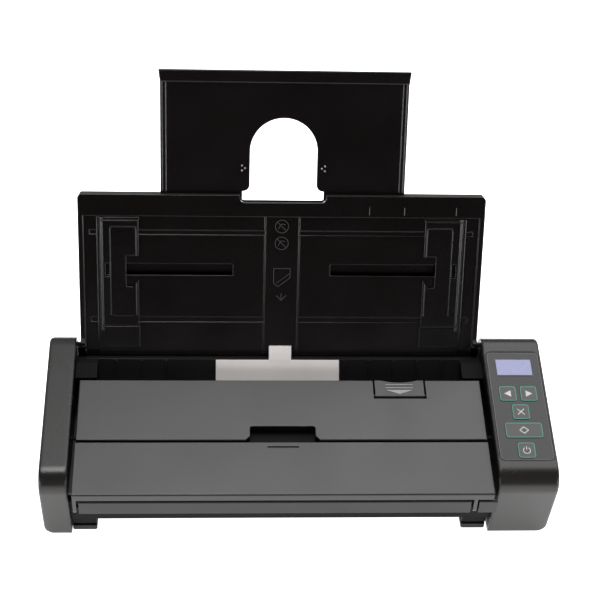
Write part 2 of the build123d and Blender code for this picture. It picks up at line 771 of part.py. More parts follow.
with BuildPart() as feed_chute:
    slab([
        (path_joint, path_floor), (chute_bend, path_floor), chute_top, (chute_back, chute_top[1]),
        (chute_back, chute_skirt_bottom), (chute_back - guide_thickness, chute_skirt_bottom),
        (chute_back - guide_thickness, chute_side(chute_length, -guide_thickness)[1] - 0.6),
        chute_side(chute_length - 0.8, -guide_thickness),
        (chute_bend + guide_thickness * tan(chute_angle / 2), floor_bottom),
        (path_joint, floor_bottom),
    ], base_left, base_right)
    for x_from, x_to in ((base_left, bay_left + cheek_width), (bay_right - cheek_width, base_right)):
        slab([chute_side((cheek_front - chute_bend) / cos(chute_angle), -0.8), cheek_front_top, cheek_top,
              chute_side(chute_length, -0.4)], x_from, x_to)
    for offset in rib_offsets:
        x = paper_centre + offset
        plate(chute_plane, x - rib_width / 2, x + rib_width / 2, 1.0, chute_length - 1.0, -0.5, rib_height)
    for x in (lever_x - 3.6, lever_x + 2.0):
        slab([
            (lever_pivot[0] - 2.6, lever_pivot[1] - 2.6), (lever_pivot[0] + 2.6, lever_pivot[1] - 2.6),
            chute_side(lever_lug_top + 2.6, -1.4), chute_side(lever_lug_top - 3.4, -1.4),
        ], x, x + 1.6)
        rod(lever_pivot, lever_pin_radius + pin_clearance, x, x + 1.6, Mode.SUBTRACT)
    window_x = feed_tyre_width / 2 + window_gap
    block(paper_centre - window_x, paper_centre + window_x, feed_axis[0] - feed_window,
          chute_bend + feed_window_run, floor_bottom - 1, path_floor + 6, Mode.SUBTRACT)
    plate(chute_plane, lever_x - lever_window / 2, lever_x + lever_window / 2, lever_window_from, lever_window_to,
          -3.5, 1.0, Mode.SUBTRACT)
write(feed_chute, "feed_chute")

with BuildPart() as pickup_plate:
    plate(chute_plane, pickup_left, pickup_right, pickup_bottom, chute_length - 0.6, 0, pickup_thickness)
    plate(chute_plane, paper_centre - pickup_slot / 2 - 1.2, paper_centre + pickup_slot / 2 - 1.2, pickup_bottom + 2.0,
          pickup_bottom + 5.0, 0, pickup_thickness, Mode.SUBTRACT)
    slab([
        chute_side(chute_length - 2.0, 0), tray_side(pickup_tab_end, -0.2 - pickup_thickness),
        tray_side(pickup_tab_end, -0.2), chute_side(chute_length - 2.4, pickup_thickness),
    ], paper_centre - pickup_tab / 2, paper_centre + pickup_tab / 2)
write(pickup_plate, "pickup_plate")

with BuildPart() as paper_lever:
    tip = chute_side(lever_tip, lever_reach)
    rod(lever_pivot, 2.0, lever_x - 0.8, lever_x + 0.8)
    slab([
        (lever_pivot[0] - 1.6, lever_pivot[1] - 1.0), (lever_pivot[0] + 1.4, lever_pivot[1] + 1.4),
        (tip[0] + 1.8, tip[1]), tip,
    ], lever_x - 0.8, lever_x + 0.8)
    slab([
        (lever_pivot[0] - 1.4, lever_pivot[1]), (lever_pivot[0] + 1.4, lever_pivot[1]),
        (lever_pivot[0] + 3.2, lever_pivot[1] - 7), (lever_pivot[0] + 0.6, lever_pivot[1] - 7),
    ], lever_x - 0.8, lever_x + 0.8)
    rod(lever_pivot, lever_pin_radius, lever_x - 3.4, lever_x + 3.4)
write(paper_lever, "paper_lever")


# Rollers, shafts and gears
def gear_outline(teeth, phase):
    """Involute gear outline about the sketch origin, one tooth centred at the phase angle."""
    pitch_radius = teeth * gear_module / 2
    base_radius = pitch_radius * cos(pressure_angle)
    root_radius = pitch_radius - 1.25 * gear_module
    tip_radius = pitch_radius + gear_module
    involute = tan(pressure_angle) - pressure_angle
    half_tooth = pi / (2 * teeth) - tooth_backlash / (2 * pitch_radius)
    flank = []
    for step in range(flank_steps + 1):
        radius = max(root_radius, base_radius) + (tip_radius - max(root_radius, base_radius)) * step / flank_steps
        roll = sqrt(max(radius ** 2 / base_radius ** 2 - 1, 0))
        flank.append((radius, half_tooth + involute - (roll - atan2(roll, 1))))
    if root_radius < base_radius:
        flank.insert(0, (root_radius, flank[0][1]))
    points = []
    for tooth in range(teeth):
        centre = phase + 2 * pi * tooth / teeth
        points += [(r * cos(centre - a), r * sin(centre - a)) for r, a in flank]
        points += [(r * cos(centre + a), r * sin(centre + a)) for r, a in reversed(flank)]
    return points


def gear(centre, teeth, phase, bore):
    """A spur gear about a side-view centre, in the plane of the gear train."""
    outline = [(centre[0] + y, centre[1] + z) for y, z in gear_outline(teeth, phase)]
    slab(outline, gears_from, gears_to)
    rod(centre, bore, gears_from, gears_to, Mode.SUBTRACT)


def mesh_phase(teeth_from, phase_from, teeth_to, angle):
    """Phase of a gear that meshes with a neighbour lying at the given angle from that neighbour."""
    return angle + pi - (pi - teeth_from * (angle - phase_from)) / teeth_to


idler_angle = atan2(idler_axis[1] - drive_axis[1], idler_axis[0] - drive_axis[0])
feed_angle = atan2(feed_axis[1] - idler_axis[1], feed_axis[0] - idler_axis[0])
idler_phase = mesh_phase(drive_gear_teeth, 0.0, idler_teeth, idler_angle)
feed_phase = mesh_phase(idler_teeth, idler_phase, feed_gear_teeth, feed_angle)
motor_phase = mesh_phase(drive_gear_teeth, 0.0, motor_teeth, radians(motor_angle))
shaft_bore = shaft_radius + pin_clearance
shaft_left = bay_left - frame_thickness - 1.0

with BuildPart() as drive_gear:
    gear(drive_axis, drive_gear_teeth, 0.0, shaft_bore)
write(drive_gear, "drive_gear")

with BuildPart() as feed_gear:
    gear(feed_axis, feed_gear_teeth, feed_phase, shaft_bore)
write(feed_gear, "feed_gear")

with BuildPart() as idler_gear:
    gear(idler_axis, idler_teeth, idler_phase, stud_radius + pin_clearance)
write(idler_gear, "idler_gear")

with BuildPart() as motor_pinion:
    gear(motor_axis, motor_teeth, motor_phase, motor_shaft_radius - 0.1)
    rod(motor_axis, motor_shaft_radius, bay_right - 4.0, gears_to + 0.6)
write(motor_pinion, "motor_pinion")

with BuildPart() as drive_motor:
    rod(motor_axis, motor_radius, bay_right - motor_length, bay_right)
    rod(motor_axis, motor_shaft_radius + pin_clearance, bay_right - 4.5, bay_right, Mode.SUBTRACT)
write(drive_motor, "drive_motor")

with BuildPart() as drive_shaft:
    rod(drive_axis, shaft_radius, shaft_left, gears_to + 0.6)
write(drive_shaft, "drive_shaft")

with BuildPart() as feed_shaft:
    rod(feed_axis, shaft_radius, shaft_left, gears_to + 0.6)
write(feed_shaft, "feed_shaft")

with BuildPart() as drive_tyres:
    for x in tyre_centres:
        rod(drive_axis, drive_tyre_radius, x - drive_tyre_width / 2, x + drive_tyre_width / 2)
        rod(drive_axis, shaft_bore, x - drive_tyre_width / 2, x + drive_tyre_width / 2, Mode.SUBTRACT)
write(drive_tyres, "drive_tyres")

with BuildPart() as feed_tyre:
    rod(feed_axis, feed_tyre_radius, paper_centre - feed_tyre_width / 2, paper_centre + feed_tyre_width / 2)
    rod(feed_axis, shaft_bore, paper_centre - feed_tyre_width / 2, paper_centre + feed_tyre_width / 2, Mode.SUBTRACT)
write(feed_tyre, "feed_tyre")

with BuildPart() as shaft_bushes:
    for axis in (drive_axis, feed_axis):
        for frame_x, flange_x in ((bay_left - frame_thickness, bay_left), (bay_right, bay_right - bush_flange)):
            rod(axis, bush_radius, frame_x, frame_x + frame_thickness)
            rod(axis, bush_flange_radius, flange_x, flange_x + bush_flange)
            rod(axis, shaft_bore, bay_left - 5, bay_left + 5, Mode.SUBTRACT)
            rod(axis, shaft_bore, bay_right - 5, bay_right + 5, Mode.SUBTRACT)
write(shaft_bushes, "shaft_bushes")

# Front cover: outer panel, inner frame, sensor and pressure rollers
latch_left = latch_centre - latch_width / 2
latch_right = latch_centre + latch_width / 2
recess_half = recess_width / 2
pocket_half = recess_half + recess_flare + recess_wall
pocket_rear = seam_rear + recess_length + recess_wall
pocket_bottom = -recess_depth - recess_wall

with BuildPart() as upper_panel:
    plate(deck_plane, panel_left, panel_right, seam_rear, panel_rear, -panel_thickness, 0)
    outer_edges = upper_panel.faces().sort_by(Axis((0, nose_y, nose_height), deck_plane.z_dir))[-1].edges()
    fillet(outer_edges, panel_edge_radius)
    for x in (panel_left, panel_right - skirt_thickness):
        plate(deck_plane, x, x + skirt_thickness, seam_rear + panel_edge_radius, panel_rear - panel_edge_radius,
              -skirt_depth, -panel_thickness)
    plate(deck_plane, paper_centre - pocket_half, paper_centre + pocket_half, seam_rear + panel_edge_radius,
          pocket_rear, pocket_bottom, -panel_thickness)
    with BuildSketch(deck_plane.offset(-recess_depth)) as recess_outline:
        with BuildLine():
            Polyline(
                (paper_centre - recess_half - recess_flare, seam_rear - 1),
                (paper_centre - recess_half - recess_flare, seam_rear + 0.4),
                (paper_centre - recess_half, seam_rear + 0.4 + recess_flare),
                (paper_centre - recess_half, seam_rear + recess_length),
                (paper_centre + recess_half, seam_rear + recess_length),
                (paper_centre + recess_half, seam_rear + 0.4 + recess_flare),
                (paper_centre + recess_half + recess_flare, seam_rear + 0.4),
                (paper_centre + recess_half + recess_flare, seam_rear - 1),
                close=True,
            )
        make_face()
        fillet(recess_outline.vertices().sort_by(Axis.Y)[-2:], recess_corner_radius)
    extrude(recess_outline.sketch, amount=recess_depth + 1, dir=deck_plane.z_dir, mode=Mode.SUBTRACT)
    for x in (latch_left - latch_gap - latch_boss, latch_right + latch_gap):
        plate(deck_plane, x, x + latch_boss, latch_pivot - 2.2, latch_pivot + 2.2, -latch_pivot_drop - 2.2,
              -panel_thickness)
    plate(deck_plane, latch_left - latch_gap, latch_right + latch_gap, latch_pivot - latch_nose - latch_gap - 0.3,
          panel_rear + 1, -panel_thickness - 3, 1, Mode.SUBTRACT)
    with BuildSketch(Plane.YZ.offset(latch_left - latch_boss)) as latch_bore:
        with Locations((nose_y + deck(latch_pivot, -latch_pivot_drop)[0], deck(latch_pivot, -latch_pivot_drop)[1])):
            Circle(latch_pin_radius + pin_clearance)
    extrude(latch_bore.sketch, amount=latch_width + 2 * latch_boss, dir=(1, 0, 0), mode=Mode.SUBTRACT)
    for x in (panel_left, panel_right - skirt_thickness):
        rod(cover_pivot, cover_pin_radius + pin_clearance, x, x + skirt_thickness, Mode.SUBTRACT)
write(upper_panel, "upper_panel")

with BuildPart() as cover_latch:
    plate(deck_plane, latch_left, latch_right, latch_pivot - latch_nose, latch_rear, -latch_thickness, 0)
    nose_edge = cover_latch.edges().filter_by(Axis.X).filter_by(
        lambda edge: (edge.center() - deck_plane.origin).dot(deck_plane.z_dir) > -0.1
        and (edge.center() - deck_plane.origin).dot(deck_plane.y_dir) < latch_pivot)
    fillet(nose_edge, latch_nose_radius)
    with BuildSketch(deck_plane.offset(-latch_thickness)) as scallop:
        with Locations((latch_centre, latch_rear + scallop_radius - scallop_depth)):
            Circle(scallop_radius)
    extrude(scallop.sketch, amount=latch_thickness + 1, dir=deck_plane.z_dir, mode=Mode.SUBTRACT)
    pivot = deck(latch_pivot, -latch_pivot_drop)
    rod(pivot, latch_thickness * 0.8, latch_left, latch_right)
    rod(pivot, latch_pin_radius, latch_left - latch_boss + 0.4, latch_right + latch_boss - 0.4)
write(cover_latch, "cover_latch")


def deck_height(y, n):
    """Height of the line n above the deck at side-view y, measured from the nose."""
    s = (y - deck(0, n)[0]) / cos(slope)
    return deck(s, n)[1]


frame_left = panel_left + skirt_thickness + cover_frame_inset
frame_right = panel_right - skirt_thickness - cover_frame_inset
frame_bottom = path_floor + path_gap
frame_floor = frame_bottom + cover_floor
knee = cover_rear_knee
rear_top = knee[0] + 1.0
pinch_window = sqrt(pinch_radius ** 2 - (pinch_axis[1] - frame_floor) ** 2) + window_gap

with BuildPart() as cover_frame:
    slab([
        (cover_front, frame_bottom), (cover_floor_rear, frame_bottom), knee,
        (rear_top, deck_height(rear_top, -panel_thickness)), (cover_front, deck_height(cover_front, -panel_thickness)),
    ], frame_left, frame_right)
    slab([
        (cover_front + cover_wall, frame_floor), (cover_floor_rear - 0.8, frame_floor),
        (knee[0] - cover_wall, knee[1] + 0.6), (rear_top - cover_wall, 2 * nose_height),
        (cover_front + cover_wall, 2 * nose_height),
    ], frame_left + cover_wall, frame_right - cover_wall, Mode.SUBTRACT)
    for x in (paper_centre - pinch_rib, paper_centre + pinch_rib):
        block(x - 1, x + 1, pinch_axis[0] - 3.2, pinch_axis[0] + 3.2, frame_floor, pinch_axis[1] + 3.2)
    bracket = separation_width / 2 + 1.0
    for x in (paper_centre - bracket - 2.0, paper_centre + bracket):
        slab([
            (cover_floor_rear - 4, frame_bottom), (cover_floor_rear, frame_bottom),
            (separation_axis[0] + 3.0, separation_axis[1] - 2.4), (separation_axis[0] + 3.0, separation_axis[1] + 3.2),
            (separation_axis[0] - 3.0, separation_axis[1] + 3.6), (cover_floor_rear - 4, separation_axis[1] + 3.6),
        ], x, x + 2.0)
    block(paper_centre - bracket, paper_centre + bracket, separation_axis[0] - separation_radius - 1.0,
          separation_axis[0] + separation_radius + 2, frame_bottom - 1, separation_axis[1] + separation_radius + 1.0,
          Mode.SUBTRACT)
    for x in tyre_centres:
        block(x - drive_tyre_width / 2 - window_gap, x + drive_tyre_width / 2 + window_gap,
              pinch_axis[0] - pinch_window, pinch_axis[0] + pinch_window, frame_bottom, frame_floor, Mode.SUBTRACT)
    block(paper_centre - glass_half - fit_gap, paper_centre + glass_half + fit_gap,
          sensor_centre - glass_width / 2 - fit_gap, sensor_centre + glass_width / 2 + fit_gap, frame_bottom,
          frame_floor, Mode.SUBTRACT)
    plate(deck_plane, paper_centre - pocket_half - 0.3, paper_centre + pocket_half + 0.3, seam_rear - 2,
          pocket_rear + 0.3, pocket_bottom - 0.3, 1, Mode.SUBTRACT)
    rod(pinch_axis, pinch_shaft_radius + pin_clearance, frame_left, frame_right, Mode.SUBTRACT)
    rod(separation_axis, separation_shaft_radius + pin_clearance, paper_centre - bracket - 2.0,
        paper_centre + bracket + 2.0, Mode.SUBTRACT)
write(cover_frame, "cover_frame")

with BuildPart() as upper_sensor:
    block(paper_centre - sensor_length / 2, paper_centre + sensor_length / 2, sensor_centre - sensor_width / 2,
          sensor_centre + sensor_width / 2, frame_floor, frame_floor + upper_sensor_height)
write(upper_sensor, "upper_sensor")

with BuildPart() as upper_glass:
    block(paper_centre - glass_half, paper_centre + glass_half, sensor_centre - glass_width / 2,
          sensor_centre + glass_width / 2, frame_bottom, frame_floor)
write(upper_glass, "upper_glass")

with BuildPart() as pinch_shaft:
    rod(pinch_axis, pinch_shaft_radius, frame_left, frame_right)
write(pinch_shaft, "pinch_shaft")

with BuildPart() as pinch_tyres:
    for x in tyre_centres:
        rod(pinch_axis, pinch_radius, x - drive_tyre_width / 2, x + drive_tyre_width / 2)
        rod(pinch_axis, pinch_shaft_radius + pin_clearance, x - drive_tyre_width / 2, x + drive_tyre_width / 2,
            Mode.SUBTRACT)
write(pinch_tyres, "pinch_tyres")

with BuildPart() as separation_shaft:
    rod(separation_axis, separation_shaft_radius, paper_centre - bracket - 2.0, paper_centre + bracket + 2.0)
write(separation_shaft, "separation_shaft")

with BuildPart() as separation_tyre:
    rod(separation_axis, separation_radius, paper_centre - separation_width / 2, paper_centre + separation_width / 2)
    rod(separation_axis, separation_shaft_radius + pin_clearance, paper_centre - separation_width / 2,
        paper_centre + separation_width / 2, Mode.SUBTRACT)
write(separation_tyre, "separation_tyre")

with BuildPart() as cover_pins:
    rod(cover_pivot, cover_pin_radius, bay_left - frame_thickness, panel_left + skirt_thickness)
    rod(cover_pivot, cover_pin_radius, panel_right - skirt_thickness, bay_right + frame_thickness)
write(cover_pins, "cover_pins")

# Exit flap: the lower panel with its lip and two hinge legs
lip_y = deck(flap_front, 0)[0]
lip_bottom = path_floor + exit_gap

with BuildPart() as exit_flap:
    slab([
        deck(flap_front, 0), deck(seam_front, 0), deck(seam_front, -flap_thickness),
        (lip_y + lip_thickness, deck_height(lip_y + lip_thickness, -flap_thickness)),
        (lip_y + lip_thickness, lip_bottom), (lip_y, lip_bottom),
    ], panel_left, panel_right)
    ridge = exit_flap.edges().filter_by(Axis.X).filter_by(
        lambda edge: edge.center().Y < nose_y + lip_y + 0.1 and edge.center().Z > lip_bottom + 1)
    fillet(ridge, flap_edge_radius)
    for x in (panel_left, panel_right - leg_thickness):
        plate(deck_plane, x, x + leg_thickness, flap_front + 4, seam_front - panel_edge_radius, -skirt_depth + 1,
              -flap_thickness)
    leg_top = lip_bottom + 4.0
    for x in (panel_left, right_leg_inner):
        slab([
            (lip_y + 0.1, leg_top), (flap_pivot[0] - flap_ear_radius, flap_pivot[1]),
            (flap_pivot[0] + flap_ear_radius, flap_pivot[1]), (flap_pivot[0] + 2.0, leg_top),
        ], x, x + leg_thickness)
        rod(flap_pivot, flap_ear_radius, x, x + leg_thickness)
        rod(flap_pivot, flap_pin_radius + pin_clearance, x, x + leg_thickness, Mode.SUBTRACT)
    plate(deck_plane, paper_centre - groove_width / 2, paper_centre + groove_width / 2, groove_from,
          groove_from + groove_run, -groove_depth, 1, Mode.SUBTRACT)
write(exit_flap, "exit_flap")

with BuildPart() as flap_pins:
    rod(flap_pivot, flap_pin_radius, panel_left, strip_left + guide_thickness)
    rod(flap_pivot, flap_pin_radius, strip_right - guide_thickness, right_leg_outer)
write(flap_pins, "flap_pins")

# Feed tray, its back cover and its extension
inner_left = tray_left + tray_rim
inner_right = tray_right - tray_rim
tray_floor_back = tray_recess + tray_floor
extension_left = paper_centre - extension_width / 2
extension_right = paper_centre + extension_width / 2
slot_from = pinion_height - slot_width / 2
slot_to = pinion_height + slot_width / 2
fence_axis_at = paper_width / 2 + fence_back - fence_axis_depth
spine_from = fence_axis_at + fence_back - fence_axis_depth + 0.15
spine_to = spine_from + spine_width
slot_inner = spine_from - guide_travel - 2.0
slot_outer = spine_to + 0.4


def tray_block(x_from, x_to, t_from, t_to, n_from, n_to, mode=Mode.ADD, radius=0.0):
    """A plate in the tray's own plane."""
    plate(tray_plane, x_from, x_to, t_from, t_to, n_from, n_to, mode, radius)


def tray_notch():
    """The finger notch in the middle of the tray's top edge."""
    with BuildSketch(tray_plane.offset(-tray_depth)) as notch:
        with Locations((paper_centre, notch_bottom + tray_top / 2)):
            RectangleRounded(notch_width, tray_top, notch_radius)
    extrude(notch.sketch, amount=tray_depth + 1, dir=tray_plane.z_dir, mode=Mode.SUBTRACT)


with BuildPart() as feed_tray:
    tray_block(tray_left, tray_right, tray_shoulder, tray_top, -tray_shell, 0)
    corners = feed_tray.edges().filter_by(Axis(tray_plane.origin, tray_plane.z_dir)).group_by(
        Axis(tray_plane.origin, tray_plane.y_dir))[-1]
    fillet(corners, tray_corner_radius)
    tray_block(inner_left, inner_right, tray_bottom, tray_shoulder + 1, -tray_shell, 0)
    for x in (tray_left, inner_right):
        tray_block(x, x + tray_rim, 0, tray_shoulder + 1, -tray_shell, 0)
        rod(tray_axis, tray_ear_radius, x, x + tray_rim)
        rod(tray_axis, tray_pin_radius + pin_clearance, x, x + tray_rim, Mode.SUBTRACT)
    tray_block(inner_left, inner_right, tray_bottom - 1, tray_recess_top, -tray_recess, 1, Mode.SUBTRACT)
    tray_block(inner_left + tray_rim, inner_right - tray_rim, tray_bottom + tray_rim, tray_top - tray_rim, -tray_shell,
               -tray_floor_back, Mode.SUBTRACT)
    tray_block(extension_left - extension_gap, extension_right + extension_gap, tray_top - tray_rim - 1, tray_top + 1,
               -tray_shell, -extension_front + extension_gap, Mode.SUBTRACT)
    for side in (-1, 1):
        ends = sorted((paper_centre + side * slot_inner, paper_centre + side * slot_outer))
        tray_block(ends[0], ends[1], slot_from, slot_to, -tray_floor_back, -tray_recess, Mode.SUBTRACT)
        ends = sorted((paper_centre + side * strip_width / 2, paper_centre + side * (slot_outer + 4)))
        for t_from, t_to in tray_grooves:
            tray_block(ends[0], ends[1], t_from, t_to, -tray_recess - groove_cut, -tray_recess, Mode.SUBTRACT)
        edge = paper_centre + side * strip_width / 2
        tray_block(edge - 0.3, edge + 0.3, tray_bottom - 1, tray_recess_top, -tray_recess - 0.4, -tray_recess,
                   Mode.SUBTRACT)
    tray_notch()
    post(tray_plane, paper_centre, pinion_height, pinion_post_radius, -extension_front + 0.45, -tray_floor_back + 0.1)
    post(tray_plane, paper_centre, pinion_height, pinion_post_radius + 0.6, -extension_front + 0.1,
         -extension_front + 0.45)
write(feed_tray, "feed_tray")

with BuildPart() as tray_back:
    tray_block(tray_left, tray_right, tray_shoulder, tray_top, -tray_depth, -tray_shell)
    corners = tray_back.edges().filter_by(Axis(tray_plane.origin, tray_plane.z_dir)).group_by(
        Axis(tray_plane.origin, tray_plane.y_dir))[-1]
    fillet(corners, tray_corner_radius)
    tray_block(inner_left, inner_right, tray_bottom, tray_shoulder + 1, -tray_depth, -tray_shell)
    tray_notch()
write(tray_back, "tray_back")

extension_back = extension_front + extension_thickness
arch_radius = arch_width / 2

with BuildPart() as tray_extension:
    tray_block(extension_left, extension_right, extension_bottom, extension_top, -extension_back, -extension_front)
    with BuildSketch(tray_plane.offset(-extension_back)) as lip:
        with BuildLine():
            Polyline(
                (extension_left - lip_overhang, extension_top), (extension_left, extension_top - lip_length),
                (extension_right, extension_top - lip_length), (extension_right + lip_overhang, extension_top),
                close=True,
            )
        make_face()
    extrude(lip.sketch, amount=extension_thickness + lip_height, dir=tray_plane.z_dir)
    for x in (extension_left + rail_inset, extension_right - rail_inset - rail_width):
        tray_block(x, x + rail_width, extension_bottom, extension_top - lip_length, -extension_front,
                   -extension_front + rail_height)
    with BuildSketch(tray_plane.offset(-extension_back)) as arch:
        with BuildLine():
            Line((paper_centre - arch_radius, extension_bottom + arch_band),
                 (paper_centre - arch_radius, arch_top - arch_radius))
            RadiusArc((paper_centre - arch_radius, arch_top - arch_radius),
                      (paper_centre + arch_radius, arch_top - arch_radius), arch_radius)
            Line((paper_centre + arch_radius, arch_top - arch_radius),
                 (paper_centre + arch_radius, extension_bottom + arch_band))
            Line((paper_centre + arch_radius, extension_bottom + arch_band),
                 (paper_centre - arch_radius, extension_bottom + arch_band))
        make_face()
        with Locations((paper_centre, (arch_step + extension_bottom + arch_band) / 2)):
            Rectangle(arch_width + 2 * arch_step_width, arch_step - extension_bottom - arch_band)
        step_corners = arch.vertices().filter_by(
            lambda corner: abs(corner.Y - arch_step) < 0.01 and abs(abs(corner.X - paper_centre) - arch_radius) < 0.01)
        fillet(step_corners, arch_foot_radius)
    extrude(arch.sketch, amount=extension_thickness + lip_height, dir=tray_plane.z_dir, mode=Mode.SUBTRACT)
write(tray_extension, "tray_extension")

with BuildPart() as tray_pins:
    rod(tray_axis, tray_pin_radius, bay_left - frame_thickness, inner_left - 0.1)
    rod(tray_axis, tray_pin_radius, inner_right + 0.1, bay_right + frame_thickness)
write(tray_pins, "tray_pins")


# Paper guides: sliding feet with racks behind the tray floor, and folding fences
def guide_block(side, v_from, v_to, t_from, t_to, n_from, n_to, mode=Mode.ADD, radius=0.0):
    """A plate on one side of the tray, v measured outwards from the paper's middle."""
    ends = sorted((paper_centre + side * v_from, paper_centre + side * v_to))
    tray_block(ends[0], ends[1], t_from, t_to, n_from, n_to, mode, radius)


def hinge_rod(side, radius, t_from, t_to, mode=Mode.ADD):
    """A cylinder about one fence's hinge axis."""
    start = tray_plane.origin + tray_plane.y_dir * t_from
    base = Plane(origin=start, x_dir=(1, 0, 0), z_dir=tray_plane.y_dir)
    with BuildSketch(base) as circle:
        with Locations((paper_centre + side * fence_axis_at, fence_axis_depth)):
            Circle(radius)
    extrude(circle.sketch, amount=t_to - t_from, dir=tray_plane.y_dir, mode=mode)


rack_front = -tray_floor_back - 0.1
rack_back = rack_front - rack_thickness
pinion_radius = pinion_teeth * gear_module / 2
rack_pitch = pi * gear_module
fence_top = fence_bottom + fence_length
arm_from = fence_top + 0.2
arm_to = arm_from + guide_arm
foot_top_t = fence_bottom - 0.3
guide_inner = fence_axis_at - fence_height - 0.4
boss_radius = fence_back - fence_axis_depth


def rack(side):
    """Rack behind the floor; the left one passes above the pinion and the right one below it."""
    rack_line = pinion_height - side * pinion_radius
    outward = -side
    root = rack_line + outward * 1.25 * gear_module
    back = root + outward * rack_body
    tip = rack_line - outward * gear_module
    steps = ceil((guide_travel + 2 * rack_overrun) / rack_pitch)
    half = rack_pitch / 4 - tooth_backlash / 2
    flare = gear_module * tan(pressure_angle)
    root_flare = 1.25 * gear_module * tan(pressure_angle)
    ends = sorted((root, back))
    guide_block(side, -rack_overrun, spine_to, ends[0], ends[1], rack_back, rack_front)
    with BuildSketch(tray_plane.offset(rack_back)) as teeth:
        for step in range(steps):
            centre = paper_centre + side * (-rack_overrun + half + root_flare + step * rack_pitch)
            with BuildLine():
                Polyline(
                    (centre - half - root_flare, root), (centre - half + flare, tip), (centre + half - flare, tip),
                    (centre + half + root_flare, root), close=True,
                )
            make_face()
    extrude(teeth.sketch, amount=rack_thickness, dir=tray_plane.z_dir)
    bridge = sorted((back, pinion_height + side * (slot_width / 2 - 0.3)))
    guide_block(side, spine_from - 6, spine_to, bridge[0], bridge[1], rack_back, rack_front)


def paper_guide(side):
    """A guide's sliding foot: spine, foot, top arm, hinge bosses, rack and the post through the slot."""
    front = -fence_front
    back = -tray_recess + 0.1
    guide_block(side, spine_from, spine_to, guide_foot_bottom, arm_to, back, front)
    guide_block(side, guide_inner, spine_to, guide_foot_bottom, foot_top_t, back, front)
    guide_block(side, guide_inner, spine_to, arm_from, arm_to, back, front)
    hinge_rod(side, boss_radius, foot_top_t - 2.4, foot_top_t)
    hinge_rod(side, boss_radius, arm_from, arm_to)
    hinge_rod(side, fence_pin_radius + pin_clearance, foot_top_t - 1.6, foot_top_t, Mode.SUBTRACT)
    hinge_rod(side, fence_pin_radius + pin_clearance, arm_from, arm_to, Mode.SUBTRACT)
    guide_block(side, spine_from, spine_to, slot_from + 0.3, slot_to - 0.3, rack_front, back)
    rack(side)


def paper_fence(side):
    """A fence, folded flat, with its hinge knuckle, pins, finger notch and shallow panel."""
    front = -fence_front
    back = -fence_back
    outer = fence_axis_at
    guide_block(side, outer - fence_height, outer, fence_bottom, fence_top, back, front)
    guide_block(side, outer - fence_height + 1.5, outer - 5.2, fence_bottom + 6.5, fence_top - 3.9, front - 0.25,
                front + 1, Mode.SUBTRACT, 1.2)
    hinge_rod(side, boss_radius, fence_bottom, fence_top)
    hinge_rod(side, fence_pin_radius, fence_bottom - 1.4, fence_bottom)
    hinge_rod(side, fence_pin_radius, fence_top, fence_top + 1.6)
    inner = paper_centre + side * (outer - fence_height)
    with BuildSketch(tray_plane.offset(back)) as notch:
        with BuildLine():
            Polyline(
                (inner - side, fence_notch_top), (inner + side * fence_notch_width, fence_notch_top),
                (inner + side * fence_notch_width, fence_notch_bottom),
                (inner + side * fence_notch_width * 0.5, fence_notch_bottom),
                (inner, fence_notch_bottom + 5.2), (inner - side, fence_notch_bottom + 5.2), close=True,
            )
        make_face()
    extrude(notch.sketch, amount=fence_back + 1, dir=tray_plane.z_dir, mode=Mode.SUBTRACT)
    guide_block(side, outer - 4.6, outer - 2.2, pinion_height - 4.3, pinion_height + 4.3, back, front + 1,
                Mode.SUBTRACT)


for side, name in ((-1, "left"), (1, "right")):
    with BuildPart() as guide:
        paper_guide(side)
    write(guide, f"{name}_guide")
    with BuildPart() as fence:
        paper_fence(side)
    write(fence, f"{name}_fence")

# A rack tooth of the left guide faces the pinion from above, so the pinion's gap is centred on it
first_tooth = -rack_overrun + rack_pitch / 4 - tooth_backlash / 2 + 1.25 * gear_module * tan(pressure_angle)
rack_shift = first_tooth + rack_pitch * round(-first_tooth / rack_pitch)
pinion_phase = pi / 2 + rack_shift / pinion_radius + pi / pinion_teeth

with BuildPart() as guide_pinion:
    with BuildSketch(tray_plane.offset(rack_back)) as pinion_outline:
        with BuildLine():
            Polyline(*[(paper_centre + x, pinion_height + t) for x, t in gear_outline(pinion_teeth, pinion_phase)],
                     close=True)
        make_face()
    extrude(pinion_outline.sketch, amount=rack_thickness, dir=tray_plane.z_dir)
    post(tray_plane, paper_centre, pinion_height, pinion_post_radius + pin_clearance, rack_back, rack_front,
         Mode.SUBTRACT)
write(guide_pinion, "guide_pinion")
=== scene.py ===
"""Sheet-fed scanner: materials, marks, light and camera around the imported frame."""
from math import cos, radians, sin

import bmesh
import bpy
from mathutils import Matrix, Vector


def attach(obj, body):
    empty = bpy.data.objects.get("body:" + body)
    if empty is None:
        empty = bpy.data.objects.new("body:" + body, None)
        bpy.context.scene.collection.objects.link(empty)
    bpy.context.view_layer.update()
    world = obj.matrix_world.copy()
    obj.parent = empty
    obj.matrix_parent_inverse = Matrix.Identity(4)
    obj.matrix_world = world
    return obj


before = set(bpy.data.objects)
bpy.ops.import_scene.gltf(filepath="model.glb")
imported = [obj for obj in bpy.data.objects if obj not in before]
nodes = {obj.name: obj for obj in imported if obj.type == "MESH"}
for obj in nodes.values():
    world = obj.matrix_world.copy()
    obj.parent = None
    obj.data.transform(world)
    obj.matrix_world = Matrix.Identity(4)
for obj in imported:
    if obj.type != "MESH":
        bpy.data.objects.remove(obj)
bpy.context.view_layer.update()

# Planes of the machine, in metres
SLOPE = radians(9.5)
LEAN = radians(67.3)
NOSE_Y = -0.0831812
NOSE_Z = 0.056
DECK_DROP = 0.0069
TRAY_AXIS = (0.1003, 0.0675)
MIDDLE = -0.00965
CAP_ORIGIN = Vector((0, NOSE_Y, NOSE_Z))
CAP_Y = Vector((0, cos(SLOPE), sin(SLOPE)))
CAP_N = Vector((0, -sin(SLOPE), cos(SLOPE)))
